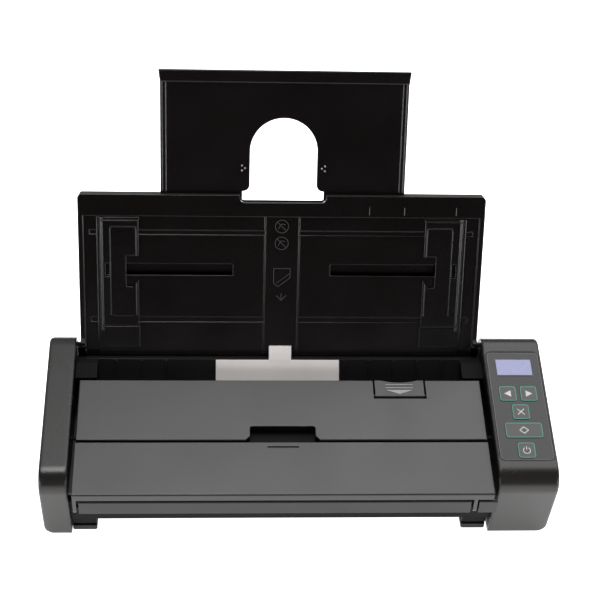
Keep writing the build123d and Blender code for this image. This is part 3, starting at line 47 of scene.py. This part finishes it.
TRAY_ORIGIN = Vector((0, NOSE_Y + TRAY_AXIS[0], TRAY_AXIS[1]))
TRAY_Y = Vector((0, cos(LEAN), sin(LEAN)))
TRAY_N = Vector((0, -sin(LEAN), cos(LEAN)))
RIGHT = Vector((1, 0, 0))

# Surfaces that carry marks, in millimetres off those planes
KEY_TOP = 0.35
BORDER_SINK = 0.1
TRAY_FLOOR_DEPTH = 1.8
EXTENSION_DEPTH = 4.4


def on_cap(x, s, n=0.0):
    """Point on the end caps' top plane, millimetres in, metres out."""
    return CAP_ORIGIN + RIGHT * (x / 1000) + CAP_Y * (s / 1000) + CAP_N * (n / 1000)


def on_panel_edge(x, s, n):
    """Point for the border line, sunk a little into the caps' top plane."""
    return on_cap(x, s, n - BORDER_SINK)


def on_key(x, s, n):
    """Point on the keys' tops."""
    return on_cap(x, s, KEY_TOP + n)


def on_deck(x, s, n=0.0):
    """Point on the deck's plane."""
    return on_cap(x, s, n - DECK_DROP * 1000)


def on_tray(x, t, n=0.0):
    """Point in the feed tray's plane."""
    return TRAY_ORIGIN + RIGHT * (x / 1000) + TRAY_Y * (t / 1000) + TRAY_N * (n / 1000)


def on_floor(x, t, n):
    """Point on the feed tray's recessed floor."""
    return on_tray(x, t, n - TRAY_FLOOR_DEPTH)


def on_extension(x, t, n):
    """Point on the tray extension's face."""
    return on_tray(x, t, n - EXTENSION_DEPTH)


# Shader nodes
def noise(tree, coords, scale, detail):
    """Noise in the piece's own coordinates."""
    node = tree.nodes.new("ShaderNodeTexNoise")
    node.inputs["Scale"].default_value = scale
    node.inputs["Detail"].default_value = detail
    tree.links.new(coords.outputs["Object"], node.inputs["Vector"])
    return node.outputs["Fac"]


def remap(tree, value, low, high, to_low=0.0, to_high=1.0, smooth=False):
    """A value carried from one range to another."""
    node = tree.nodes.new("ShaderNodeMapRange")
    if smooth:
        node.interpolation_type = "SMOOTHSTEP"
    node.inputs["From Min"].default_value = low
    node.inputs["From Max"].default_value = high
    node.inputs["To Min"].default_value = to_low
    node.inputs["To Max"].default_value = to_high
    tree.links.new(value, node.inputs["Value"])
    return node.outputs["Result"]


def combine(tree, operation, *terms):
    """A maths node; its terms are numbers or other nodes' outputs."""
    node = tree.nodes.new("ShaderNodeMath")
    node.operation = operation
    for slot, term in zip(node.inputs, terms):
        if isinstance(term, float):
            slot.default_value = term
        else:
            tree.links.new(term, slot)
    return node.outputs["Value"]


# Materials
TINT_BAND = (0.32, 0.68)
TINT_DETAIL = 4.0
SMUDGE_BAND = (0.3, 0.7)
SMUDGE_SCALE = 3.3
SMUDGE_DETAIL = 6.0
LEAST_ROUGHNESS = 0.02
GRAIN_DEPTH = 0.0002
GRAIN_DETAIL = 2.0
BEVEL_SAMPLES = 6
DUSTY_FACING = (0.75, 0.92)
DUST_ROUGHNESS = 0.5
GLASS_IOR = 1.5


def material(name, colour, rough, rough_spread=0.06, tint=0.12, tint_scale=9.0, grain=0.0,
             grain_scale=900.0, metallic=0.0, specular=0.5, edge=0.0, dusty=False, glow=0.0,
             clear=0.0):
    """Procedural finish: slow colour drift, uneven gloss, and where asked moulded grain,
    edges softened over so many millimetres, dull upper faces, a little light, or clear glass."""
    mat = bpy.data.materials.new(name)
    mat.use_nodes = True
    tree = mat.node_tree
    tree.nodes.clear()
    out = tree.nodes.new("ShaderNodeOutputMaterial")
    shader = tree.nodes.new("ShaderNodeBsdfPrincipled")
    tree.links.new(shader.outputs["BSDF"], out.inputs["Surface"])
    coords = tree.nodes.new("ShaderNodeTexCoord")

    ramp = tree.nodes.new("ShaderNodeValToRGB")
    stops = ramp.color_ramp.elements
    for stop, position, factor in zip(stops, TINT_BAND, (1 - tint, 1 + tint)):
        stop.position = position
        stop.color = [min(channel * factor, 1) for channel in colour] + [1]
    tree.links.new(noise(tree, coords, tint_scale, TINT_DETAIL), ramp.inputs["Fac"])
    tree.links.new(ramp.outputs["Color"], shader.inputs["Base Color"])

    smudge = noise(tree, coords, tint_scale * SMUDGE_SCALE, SMUDGE_DETAIL)
    roughness = remap(tree, smudge, *SMUDGE_BAND, max(rough - rough_spread, LEAST_ROUGHNESS),
                      min(rough + rough_spread, 1.0))
    if dusty:
        geometry = tree.nodes.new("ShaderNodeNewGeometry")
        facing = tree.nodes.new("ShaderNodeSeparateXYZ")
        tree.links.new(geometry.outputs["Normal"], facing.inputs["Vector"])
        dust = remap(tree, facing.outputs["Z"], *DUSTY_FACING, to_high=DUST_ROUGHNESS)
        roughness = combine(tree, "ADD", roughness, dust)
    tree.links.new(roughness, shader.inputs["Roughness"])

    soft_edge = None
    if edge > 0:
        soft_edge = tree.nodes.new("ShaderNodeBevel")
        soft_edge.samples = BEVEL_SAMPLES
        soft_edge.inputs["Radius"].default_value = edge / 1000
        tree.links.new(soft_edge.outputs["Normal"], shader.inputs["Normal"])
    if grain > 0:
        bump = tree.nodes.new("ShaderNodeBump")
        bump.inputs["Strength"].default_value = grain
        bump.inputs["Distance"].default_value = GRAIN_DEPTH
        tree.links.new(noise(tree, coords, grain_scale, GRAIN_DETAIL), bump.inputs["Height"])
        if soft_edge:
            tree.links.new(soft_edge.outputs["Normal"], bump.inputs["Normal"])
        tree.links.new(bump.outputs["Normal"], shader.inputs["Normal"])

    shader.inputs["Metallic"].default_value = metallic
    shader.inputs["Specular IOR Level"].default_value = specular
    if glow > 0:
        shader.inputs["Emission Color"].default_value = list(colour) + [1]
        shader.inputs["Emission Strength"].default_value = glow
    if clear > 0:
        shader.inputs["Transmission Weight"].default_value = clear
        shader.inputs["IOR"].default_value = GLASS_IOR
    return mat


FINISHES = {
    "cap_black": dict(colour=(0.012, 0.0108, 0.0100), rough=0.27, rough_spread=0.03, grain=0.05,
                      grain_scale=1400, specular=0.4, edge=2.2),
    "panel_black": dict(colour=(0.024, 0.0235, 0.025), rough=0.36, rough_spread=0.04, grain=0.12,
                        grain_scale=1800, edge=0.35),
    "flap_black": dict(colour=(0.0185, 0.018, 0.0195), rough=0.36, rough_spread=0.04, grain=0.12,
                       grain_scale=1800, edge=0.35),
    # Painted shade: a near-black, dull finish for the finger recess's faces, darker than the panel
    # around them
    "recess_painted_shade": dict(colour=(0.003, 0.003, 0.003), rough=0.5, rough_spread=0.05,
                         specular=0.08),
    "tray_black": dict(colour=(0.0030, 0.0020, 0.0019), rough=0.15, rough_spread=0.02, edge=0.7,
                       dusty=True),
    "guide_black": dict(colour=(0.0030, 0.0022, 0.0022), rough=0.15, rough_spread=0.02, edge=1.0,
                        dusty=True),
    "extension_black": dict(colour=(0.0034, 0.0022, 0.0024), rough=0.18, rough_spread=0.03,
                            edge=0.8, dusty=True),
    "inner_black": dict(colour=(0.005, 0.0042, 0.0042), rough=0.34, rough_spread=0.05,
                        specular=0.22, edge=0.6, dusty=True),
    "strip_black": dict(colour=(0.011, 0.010, 0.0105), rough=0.42, rough_spread=0.05, grain=0.1,
                        grain_scale=1600, specular=0.42, edge=0.3),
    # Painted shade: the bottom plate's dark plastic, made darker and duller for the shade under
    # the exit strip
    "wall_black_painted_shade": dict(colour=(0.005, 0.0044, 0.0046), rough=0.5, rough_spread=0.05, grain=0.12,
                       grain_scale=1500, specular=0.1),
    "pin_black": dict(colour=(0.008, 0.007, 0.007), rough=0.45, specular=0.2, edge=0.4,
                      dusty=True),
    "label": dict(colour=(0.010, 0.010, 0.0115), rough=0.16, rough_spread=0.02, tint=0.05,
                  specular=0.36),
    "key": dict(colour=(0.016, 0.015, 0.015), rough=0.3, rough_spread=0.03, tint=0.05, edge=0.2),
    "display_glass": dict(colour=(0.24, 0.255, 0.43), rough=0.25, tint=0.05, glow=0.08),
    "white_plastic": dict(colour=(0.78, 0.77, 0.73), rough=0.45, grain=0.05),
    "board_green": dict(colour=(0.012, 0.09, 0.035), rough=0.35, tint=0.3, tint_scale=120),
    "switch_black": dict(colour=(0.03, 0.03, 0.03), rough=0.5),
    "pickup_metal": dict(colour=(0.70, 0.665, 0.65), rough=0.5, tint=0.06, tint_scale=30,
                         grain=0.1, grain_scale=2200),
    "plated": dict(colour=(0.62, 0.61, 0.59), rough=0.25, metallic=1.0, tint=0.06),
    "steel": dict(colour=(0.56, 0.56, 0.57), rough=0.3, metallic=1.0, tint=0.08, tint_scale=60),
    "motor_can": dict(colour=(0.36, 0.36, 0.37), rough=0.38, metallic=0.8, tint=0.08),
    "brass": dict(colour=(0.60, 0.43, 0.2), rough=0.3, metallic=1.0, tint=0.1),
    "bronze": dict(colour=(0.40, 0.28, 0.15), rough=0.45, metallic=1.0, tint=0.1),
    "gear_white": dict(colour=(0.74, 0.73, 0.68), rough=0.4, tint=0.04),
    "roller_rubber": dict(colour=(0.05, 0.052, 0.056), rough=0.75, grain=0.35, grain_scale=1200),
    "pinch_white": dict(colour=(0.7, 0.7, 0.67), rough=0.35),
    "foot_rubber": dict(colour=(0.008, 0.008, 0.008), rough=0.7, grain=0.3, grain_scale=1100),
    "sensor_bar": dict(colour=(0.02, 0.02, 0.02), rough=0.45),
    "scan_glass": dict(colour=(0.80, 0.86, 0.84), rough=0.05, rough_spread=0.02, tint=0.02,
                       clear=0.85),
    "teal": dict(colour=(0.010, 0.19, 0.14), rough=0.3, tint=0.05, glow=0.45),
    "mark_grey": dict(colour=(0.11, 0.10, 0.10), rough=0.5, tint=0.1, tint_scale=200),
    "mark_pale": dict(colour=(0.3, 0.29, 0.29), rough=0.5, tint=0.08, tint_scale=200),
    "mark_white": dict(colour=(0.55, 0.55, 0.54), rough=0.5, tint=0.08, tint_scale=200),
    "mark_dim": dict(colour=(0.028, 0.026, 0.026), rough=0.5, tint=0.1, tint_scale=200),
}
finishes = {name: material(name, **look) for name, look in FINISHES.items()}

# Which finish each CAD node wears
WORN_BY = {
    "cap_black": ["left_end_cap", "right_end_cap"],
    "panel_black": ["upper_panel", "cover_latch"],
    "flap_black": ["exit_flap"],
    "tray_black": ["feed_tray", "tray_back"],
    "guide_black": ["left_guide", "right_guide", "left_fence", "right_fence"],
    "extension_black": ["tray_extension"],
    "inner_black": ["left_side_frame", "right_side_frame", "feed_chute", "rear_cover",
                    "cover_frame", "paper_lever"],
    "strip_black": ["lower_guide"],
    "wall_black_painted_shade": ["bottom_plate"],
    "pin_black": ["cover_pins", "flap_pins", "tray_pins"],
    "label": ["control_panel"],
    "key": ["key_back", "key_forward", "key_cancel", "key_start", "key_power"],
    "display_glass": ["display_window"],
    "white_plastic": ["display_module"],
    "board_green": ["key_board", "main_board"],
    "switch_black": ["key_switches", "power_socket"],
    "pickup_metal": ["pickup_plate"],
    "plated": ["usb_socket"],
    "steel": ["drive_shaft", "feed_shaft", "pinch_shaft", "separation_shaft", "case_screws"],
    "motor_can": ["drive_motor"],
    "brass": ["motor_pinion"],
    "bronze": ["shaft_bushes"],
    "gear_white": ["drive_gear", "feed_gear", "idler_gear", "guide_pinion"],
    "roller_rubber": ["drive_tyres", "feed_tyre", "separation_tyre"],
    "pinch_white": ["pinch_tyres"],
    "foot_rubber": ["rubber_feet"],
    "sensor_bar": ["lower_sensor", "upper_sensor"],
    "scan_glass": ["lower_glass", "upper_glass"],
}
for finish, names in WORN_BY.items():
    for name in names:
        slots = nodes[name].data.materials
        if len(slots) == 0:
            slots.append(None)
        for index in range(len(slots)):
            slots[index] = finishes[finish]

# Painted shade in the upper panel's finger recess: faces that lie below the deck, near the middle
# (metres), get a near-black, dull finish in place of the shade there
RECESS_HALF = 0.0225
RECESS_FRONT, RECESS_REAR = 0.0300, 0.0425
RECESS_DEPTH = 0.0015

panel = nodes["upper_panel"]
panel.data.materials.append(finishes["recess_painted_shade"])
for face in panel.data.polygons:
    centre = panel.matrix_world @ face.center - CAP_ORIGIN
    beside = abs(centre.x - MIDDLE)
    depth = -(centre.dot(CAP_N) + DECK_DROP)
    if (beside < RECESS_HALF and RECESS_FRONT < centre.dot(CAP_Y) < RECESS_REAR
            and depth > RECESS_DEPTH):
        face.material_index = len(panel.data.materials) - 1

# Marks: thin raised outlines and strokes, all in millimetres
MARK_FOOT = -0.02
MITRE_LIMIT = 0.4
CORNER_STEPS = 5


def finish_piece(name, bm, finish, body):
    """Turn a bmesh into a piece with its finish, riding on a body."""
    bmesh.ops.recalc_face_normals(bm, faces=bm.faces)
    mesh = bpy.data.meshes.new(name)
    bm.to_mesh(mesh)
    bm.free()
    piece = bpy.data.objects.new(name, mesh)
    bpy.context.scene.collection.objects.link(piece)
    mesh.materials.append(finishes[finish])
    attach(piece, body)


def sideways(direction):
    """A 2-D direction turned left by a right angle."""
    return Vector((-direction.y, direction.x))


def stroke(bm, points, width, height, place, closed=False):
    """A flat-topped raised line through 2-D points, placed by a plane function."""
    count = len(points)
    rings = []
    for i, (x, y) in enumerate(points):
        directions = []
        if closed or i > 0:
            before = points[(i - 1) % count]
            directions.append(Vector((x - before[0], y - before[1])).normalized())
        if closed or i < count - 1:
            after = points[(i + 1) % count]
            directions.append(Vector((after[0] - x, after[1] - y)).normalized())
        normal = sideways(sum(directions, Vector((0, 0))).normalized())
        # Mitred corners reach further, so that the line keeps its width
        reach = width / 2 / max(normal.dot(sideways(directions[0])), MITRE_LIMIT)
        ring = []
        for side, n in ((-1, MARK_FOOT), (-1, height), (1, height), (1, MARK_FOOT)):
            shift = reach * side
            ring.append(bm.verts.new(place(x + normal.x * shift, y + normal.y * shift, n)))
        rings.append(ring)
    pairs = list(zip(rings, rings[1:])) + ([(rings[-1], rings[0])] if closed else [])
    for first, second in pairs:
        for k in range(4):
            bm.faces.new((first[k], first[(k + 1) % 4], second[(k + 1) % 4], second[k]))
    if not closed:
        bm.faces.new(rings[0])
        bm.faces.new(list(reversed(rings[-1])))


def solid_shape(bm, points, height, place):
    """A thin filled polygon, placed by a plane function."""
    low = [bm.verts.new(place(x, y, MARK_FOOT)) for x, y in points]
    high = [bm.verts.new(place(x, y, height)) for x, y in points]
    bm.faces.new(high)
    bm.faces.new(list(reversed(low)))
    for i in range(len(points)):
        j = (i + 1) % len(points)
        bm.faces.new((low[i], low[j], high[j], high[i]))


def arc(cx, cy, radius, start, end, steps):
    """Points on an arc, angles in degrees."""
    angles = [radians(start + (end - start) * k / steps) for k in range(steps + 1)]
    return [(cx + radius * cos(angle), cy + radius * sin(angle)) for angle in angles]


def circle(cx, cy, radius, steps):
    """Points round a circle, the first not repeated."""
    return arc(cx, cy, radius, 0, 360, steps)[:-1]


def rounded(cx, cy, width, height, radius):
    """A rounded rectangle's points."""
    points = []
    for sx, sy, start in ((1, 1, 0), (-1, 1, 90), (-1, -1, 180), (1, -1, 270)):
        points += arc(cx + sx * (width / 2 - radius), cy + sy * (height / 2 - radius), radius,
                      start, start + 90, CORNER_STEPS)
    return points


# Keys: place of the middle and width
PANEL_MIDDLE = 133.125
KEYS = {"key_back": (PANEL_MIDDLE - 6.2, 60.2, 10.1),
        "key_forward": (PANEL_MIDDLE + 6.5, 60.2, 10.1),
        "key_cancel": (PANEL_MIDDLE + 0.1, 46.9, 10.1),
        "key_start": (PANEL_MIDDLE + 0.3, 33.7, 22.2),
        "key_power": (PANEL_MIDDLE + 0.1, 19.6, 10.1)}
RING_LENGTH = 10.0
RING_NARROWER = 0.5
RING_RADIUS = 1.2
RING_LINE = 0.4
SYMBOL_LINE = 0.5
POWER_LINE = 0.45
SYMBOL_HEIGHT = 0.05
CROSSING_HEIGHT = 0.06
ARROW_TIP, ARROW_BACK, ARROW_HALF = 2.2, 1.8, 2.3
CROSS_REACH = 2
DIAMOND_HALF_WIDTH, DIAMOND_HALF_LENGTH = 2.6, 2.3
POWER_RADIUS = 2.1
POWER_DROP = 0.2
POWER_ARC = (125, 415, 24)
POWER_STEM = (0.3, 2.7)

for key, (x, s, width) in KEYS.items():
    bm = bmesh.new()
    ring = rounded(x, s, width - RING_NARROWER, RING_LENGTH, RING_RADIUS)
    stroke(bm, ring, RING_LINE, SYMBOL_HEIGHT, on_key, closed=True)
    finish_piece(key + "_ring", bm, "teal", key + "_body")
    bm = bmesh.new()
    if key == "key_back":
        solid_shape(bm, [(x - ARROW_TIP, s), (x + ARROW_BACK, s - ARROW_HALF),
                         (x + ARROW_BACK, s + ARROW_HALF)], SYMBOL_HEIGHT, on_key)
    elif key == "key_forward":
        solid_shape(bm, [(x + ARROW_TIP, s), (x - ARROW_BACK, s + ARROW_HALF),
                         (x - ARROW_BACK, s - ARROW_HALF)], SYMBOL_HEIGHT, on_key)
    elif key == "key_cancel":
        for way, height in ((1, SYMBOL_HEIGHT), (-1, CROSSING_HEIGHT)):
            stroke(bm, [(x - CROSS_REACH, s - way * CROSS_REACH),
                        (x + CROSS_REACH, s + way * CROSS_REACH)], SYMBOL_LINE, height, on_key)
    elif key == "key_start":
        stroke(bm, [(x, s + DIAMOND_HALF_LENGTH), (x - DIAMOND_HALF_WIDTH, s),
                    (x, s - DIAMOND_HALF_LENGTH), (x + DIAMOND_HALF_WIDTH, s)], SYMBOL_LINE,
               SYMBOL_HEIGHT, on_key, closed=True)
    else:
        stroke(bm, arc(x, s - POWER_DROP, POWER_RADIUS, *POWER_ARC), POWER_LINE, SYMBOL_HEIGHT,
               on_key)
        stroke(bm, [(x, s + end) for end in POWER_STEM], POWER_LINE, SYMBOL_HEIGHT, on_key)
    finish_piece(key + "_mark", bm, "mark_white", key + "_body")

# Borders of the display and the panel: middle, width, length and corner radius
DISPLAY_BORDER = (PANEL_MIDDLE, 80.1, 22.4, 12.6, 1.0)
PANEL_BORDER = (PANEL_MIDDLE, 52.2, 31.4, 77.6, 2.4)
bm = bmesh.new()
stroke(bm, rounded(*DISPLAY_BORDER), width=0.7, height=0.06, place=on_cap, closed=True)
finish_piece("display_border", bm, "label", "base")
bm = bmesh.new()
stroke(bm, rounded(*PANEL_BORDER), width=0.3, height=0.05, place=on_panel_edge, closed=True)
finish_piece("panel_border", bm, "mark_grey", "base")

# Latch bars and arrow
LATCH_HEIGHT = 0.08
BAR_LINE = 0.4
BAR_PLACES = (71.9, 69.5)
BAR_ENDS = (54.0, 70.6)
LATCH_ARROW = [(54.2, 67.8), (62.3, 64.9), (70.4, 67.8)]
bm = bmesh.new()
for s in BAR_PLACES:
    stroke(bm, [(x, s) for x in BAR_ENDS], BAR_LINE, LATCH_HEIGHT, on_deck)
solid_shape(bm, LATCH_ARROW, LATCH_HEIGHT, on_deck)
finish_piece("latch_arrow", bm, "mark_pale", "latch")

# Feed tray: two crossed circles, a sheet with a folded corner and an arrow on the centre strip
TRAY_MIDDLE = MIDDLE * 1000
STRIP_HEIGHT = 0.12
LOW_HEIGHT = 0.1
FINE_LINE = 0.35
FINEST_LINE = 0.3
CIRCLE_PLACES = (75.6, 65.0)
CIRCLE_SHIFT, CIRCLE_RADIUS, CIRCLE_STEPS = 0.3, 4.0, 28
CIRCLE_BAR = [(-3.1, 2.8), (2.5, -2.8)]
CIRCLE_HOOK = [(-2.4, -1.4), (-0.6, 1.6), (1.8, 1.2)]
SHEET = [(-14.4, 49.0), (-14.4, 39.6), (-11.6, 37.4), (-4.4, 43.0), (-4.4, 49.0)]
SHEET_FOLD = [(-12.6, 39.6), (-4.4, 46.0)]
ARROW_HEAD = [(-12.6, 31.6), (-9.6, 28.6), (-6.6, 31.6)]
ARROW_STEM = [(-9.6, 28.8), (-9.6, 33.2)]
bm = bmesh.new()
for t in CIRCLE_PLACES:
    stroke(bm, circle(TRAY_MIDDLE - CIRCLE_SHIFT, t, CIRCLE_RADIUS, CIRCLE_STEPS), FINE_LINE,
           STRIP_HEIGHT, on_floor, closed=True)
    stroke(bm, [(TRAY_MIDDLE + dx, t + dt) for dx, dt in CIRCLE_BAR], FINE_LINE, STRIP_HEIGHT,
           on_floor)
    stroke(bm, [(TRAY_MIDDLE + dx, t + dt) for dx, dt in CIRCLE_HOOK], FINEST_LINE, LOW_HEIGHT,
           on_floor)
stroke(bm, SHEET, FINE_LINE, STRIP_HEIGHT, on_floor, closed=True)
stroke(bm, SHEET_FOLD, FINEST_LINE, STRIP_HEIGHT, on_floor)
stroke(bm, ARROW_HEAD, 0.45, STRIP_HEIGHT, on_floor)
stroke(bm, ARROW_STEM, 0.4, STRIP_HEIGHT, on_floor)
finish_piece("strip_marks", bm, "mark_dim", "tray")

# Size ticks on the tray's rim
TICK_PLACES = (42.6, 63.8, 95.3)
TICK_ENDS = (83.6, 88.4)
bm = bmesh.new()
for x in TICK_PLACES:
    stroke(bm, [(x, t) for t in TICK_ENDS], FINE_LINE, LOW_HEIGHT, on_tray)
finish_piece("size_ticks", bm, "mark_grey", "tray")

# Three dots on each side of the extension's arch
DOTS_ASIDE, DOTS_UP = 24.8, 111.0
DOT_RADIUS, DOT_STEPS = 0.55, 10
bm = bmesh.new()
for side in (-1, 1):
    for dx, dt in ((0.0, 1.5), (0.0, -1.5), (-side * 1.8, 0.0)):
        dot = circle(TRAY_MIDDLE + side * DOTS_ASIDE + dx, DOTS_UP + dt, DOT_RADIUS, DOT_STEPS)
        solid_shape(bm, dot, LOW_HEIGHT, on_extension)
finish_piece("extension_dots", bm, "mark_pale", "extension")

# Pale floor that gives some light near the machine and little far in front of it and behind it
FLOOR_HALF = 30
FLOOR_GLOW = 1.25
FAR_GLOW = 0.1
FRONT_FALLOFF = (-0.8, -0.15)
REAR_FALLOFF = (1.5, 0.75)
WHITE = (1, 1, 1, 1)

floor_mat = material("studio_floor", (0.93, 0.93, 0.93), 0.6, tint=0.01, specular=0.1)
tree = floor_mat.node_tree
shader = tree.nodes["Principled BSDF"]
split = tree.nodes.new("ShaderNodeSeparateXYZ")
tree.links.new(tree.nodes["Texture Coordinate"].outputs["Object"], split.inputs["Vector"])
front, rear = [remap(tree, split.outputs["Y"], *falloff, to_low=FAR_GLOW, smooth=True)
               for falloff in (FRONT_FALLOFF, REAR_FALLOFF)]
glow = combine(tree, "MULTIPLY", combine(tree, "MULTIPLY", front, rear), FLOOR_GLOW)
tree.links.new(glow, shader.inputs["Emission Strength"])
shader.inputs["Emission Color"].default_value = WHITE
bm = bmesh.new()
for x, y in ((-1, -1), (1, -1), (1, 1), (-1, 1)):
    bm.verts.new((x * FLOOR_HALF, y * FLOOR_HALF, 0))
bm.faces.new(bm.verts)
floor_mesh = bpy.data.meshes.new("studio_floor")
bm.to_mesh(floor_mesh)
bm.free()
floor = bpy.data.objects.new("studio_floor", floor_mesh)
bpy.context.scene.collection.objects.link(floor)
floor_mesh.materials.append(floor_mat)

# Sky: bright above and behind the machine, nearly dark elsewhere
SKY_BEHIND = (-0.25, 0.55)
SKY_ABOVE = (0.2, 0.55)
SKY_BRIGHT = 0.75
SKY_DARK = 0.04

world = bpy.data.worlds.new("studio")
bpy.context.scene.world = world
world.use_nodes = True
tree = world.node_tree
coords = tree.nodes.new("ShaderNodeTexCoord")
split = tree.nodes.new("ShaderNodeSeparateXYZ")
tree.links.new(coords.outputs["Generated"], split.inputs["Vector"])
behind = remap(tree, split.outputs["Y"], *SKY_BEHIND, smooth=True)
above = remap(tree, split.outputs["Z"], *SKY_ABOVE, smooth=True)
sky = combine(tree, "MULTIPLY_ADD", combine(tree, "MULTIPLY", behind, above), SKY_BRIGHT, SKY_DARK)
tree.links.new(sky, tree.nodes["Background"].inputs["Strength"])
tree.nodes["Background"].inputs["Color"].default_value = WHITE

# Lights: place, target, width, depth and power in watts
LIGHTS = {
    "softbox": ((1.15, 1.30, 2.70), (0, 0, 0.05), 2.7, 2.4, 52),
    "top_light": ((-0.3, 0.1, 3.2), (0, 0, 0.05), 1.4, 1.0, 45),
    "right_strip": ((1.5, -1.5, 0.4), (0, 0, 0.12), 0.9, 0.6, 16),
    "left_strip": ((-1.5, -1.5, 0.4), (0, 0, 0.12), 0.9, 0.6, 16),
}
for name, (place, target, width, depth, power) in LIGHTS.items():
    light = bpy.data.lights.new(name, "AREA")
    light.shape = "RECTANGLE"
    light.size = width
    light.size_y = depth
    light.energy = power
    lamp = bpy.data.objects.new(name, light)
    lamp.location = place
    lamp.rotation_euler = (Vector(target) - Vector(place)).to_track_quat("-Z", "Y").to_euler()
    lamp.visible_camera = False
    bpy.context.scene.collection.objects.link(lamp)

# Camera, fitted to the photo's edges and corners
CAMERA_PLACE = Vector((-0.05374, NOSE_Y - 0.563707, 0.697481))
YAW, PITCH, ROLL = 0.078, 0.73, 0.0565
SENSOR_WIDTH = 36
FOCAL_LENGTH = 87.56

forward = Vector((sin(YAW) * cos(PITCH), cos(YAW) * cos(PITCH), -sin(PITCH)))
level = Vector((cos(YAW), -sin(YAW), 0))
upright = level.cross(forward)
across = level * cos(ROLL) + upright * sin(ROLL)
up = upright * cos(ROLL) - level * sin(ROLL)
turn = Matrix((across, up, -forward)).transposed().to_4x4()
camera_data = bpy.data.cameras.new("camera")
camera_data.sensor_width = SENSOR_WIDTH
camera_data.lens = FOCAL_LENGTH
camera = bpy.data.objects.new("camera", camera_data)
camera.matrix_world = Matrix.Translation(CAMERA_PLACE) @ turn
bpy.context.scene.collection.objects.link(camera)
bpy.context.scene.camera = camera
bpy.context.scene.view_settings.view_transform = "Standard"
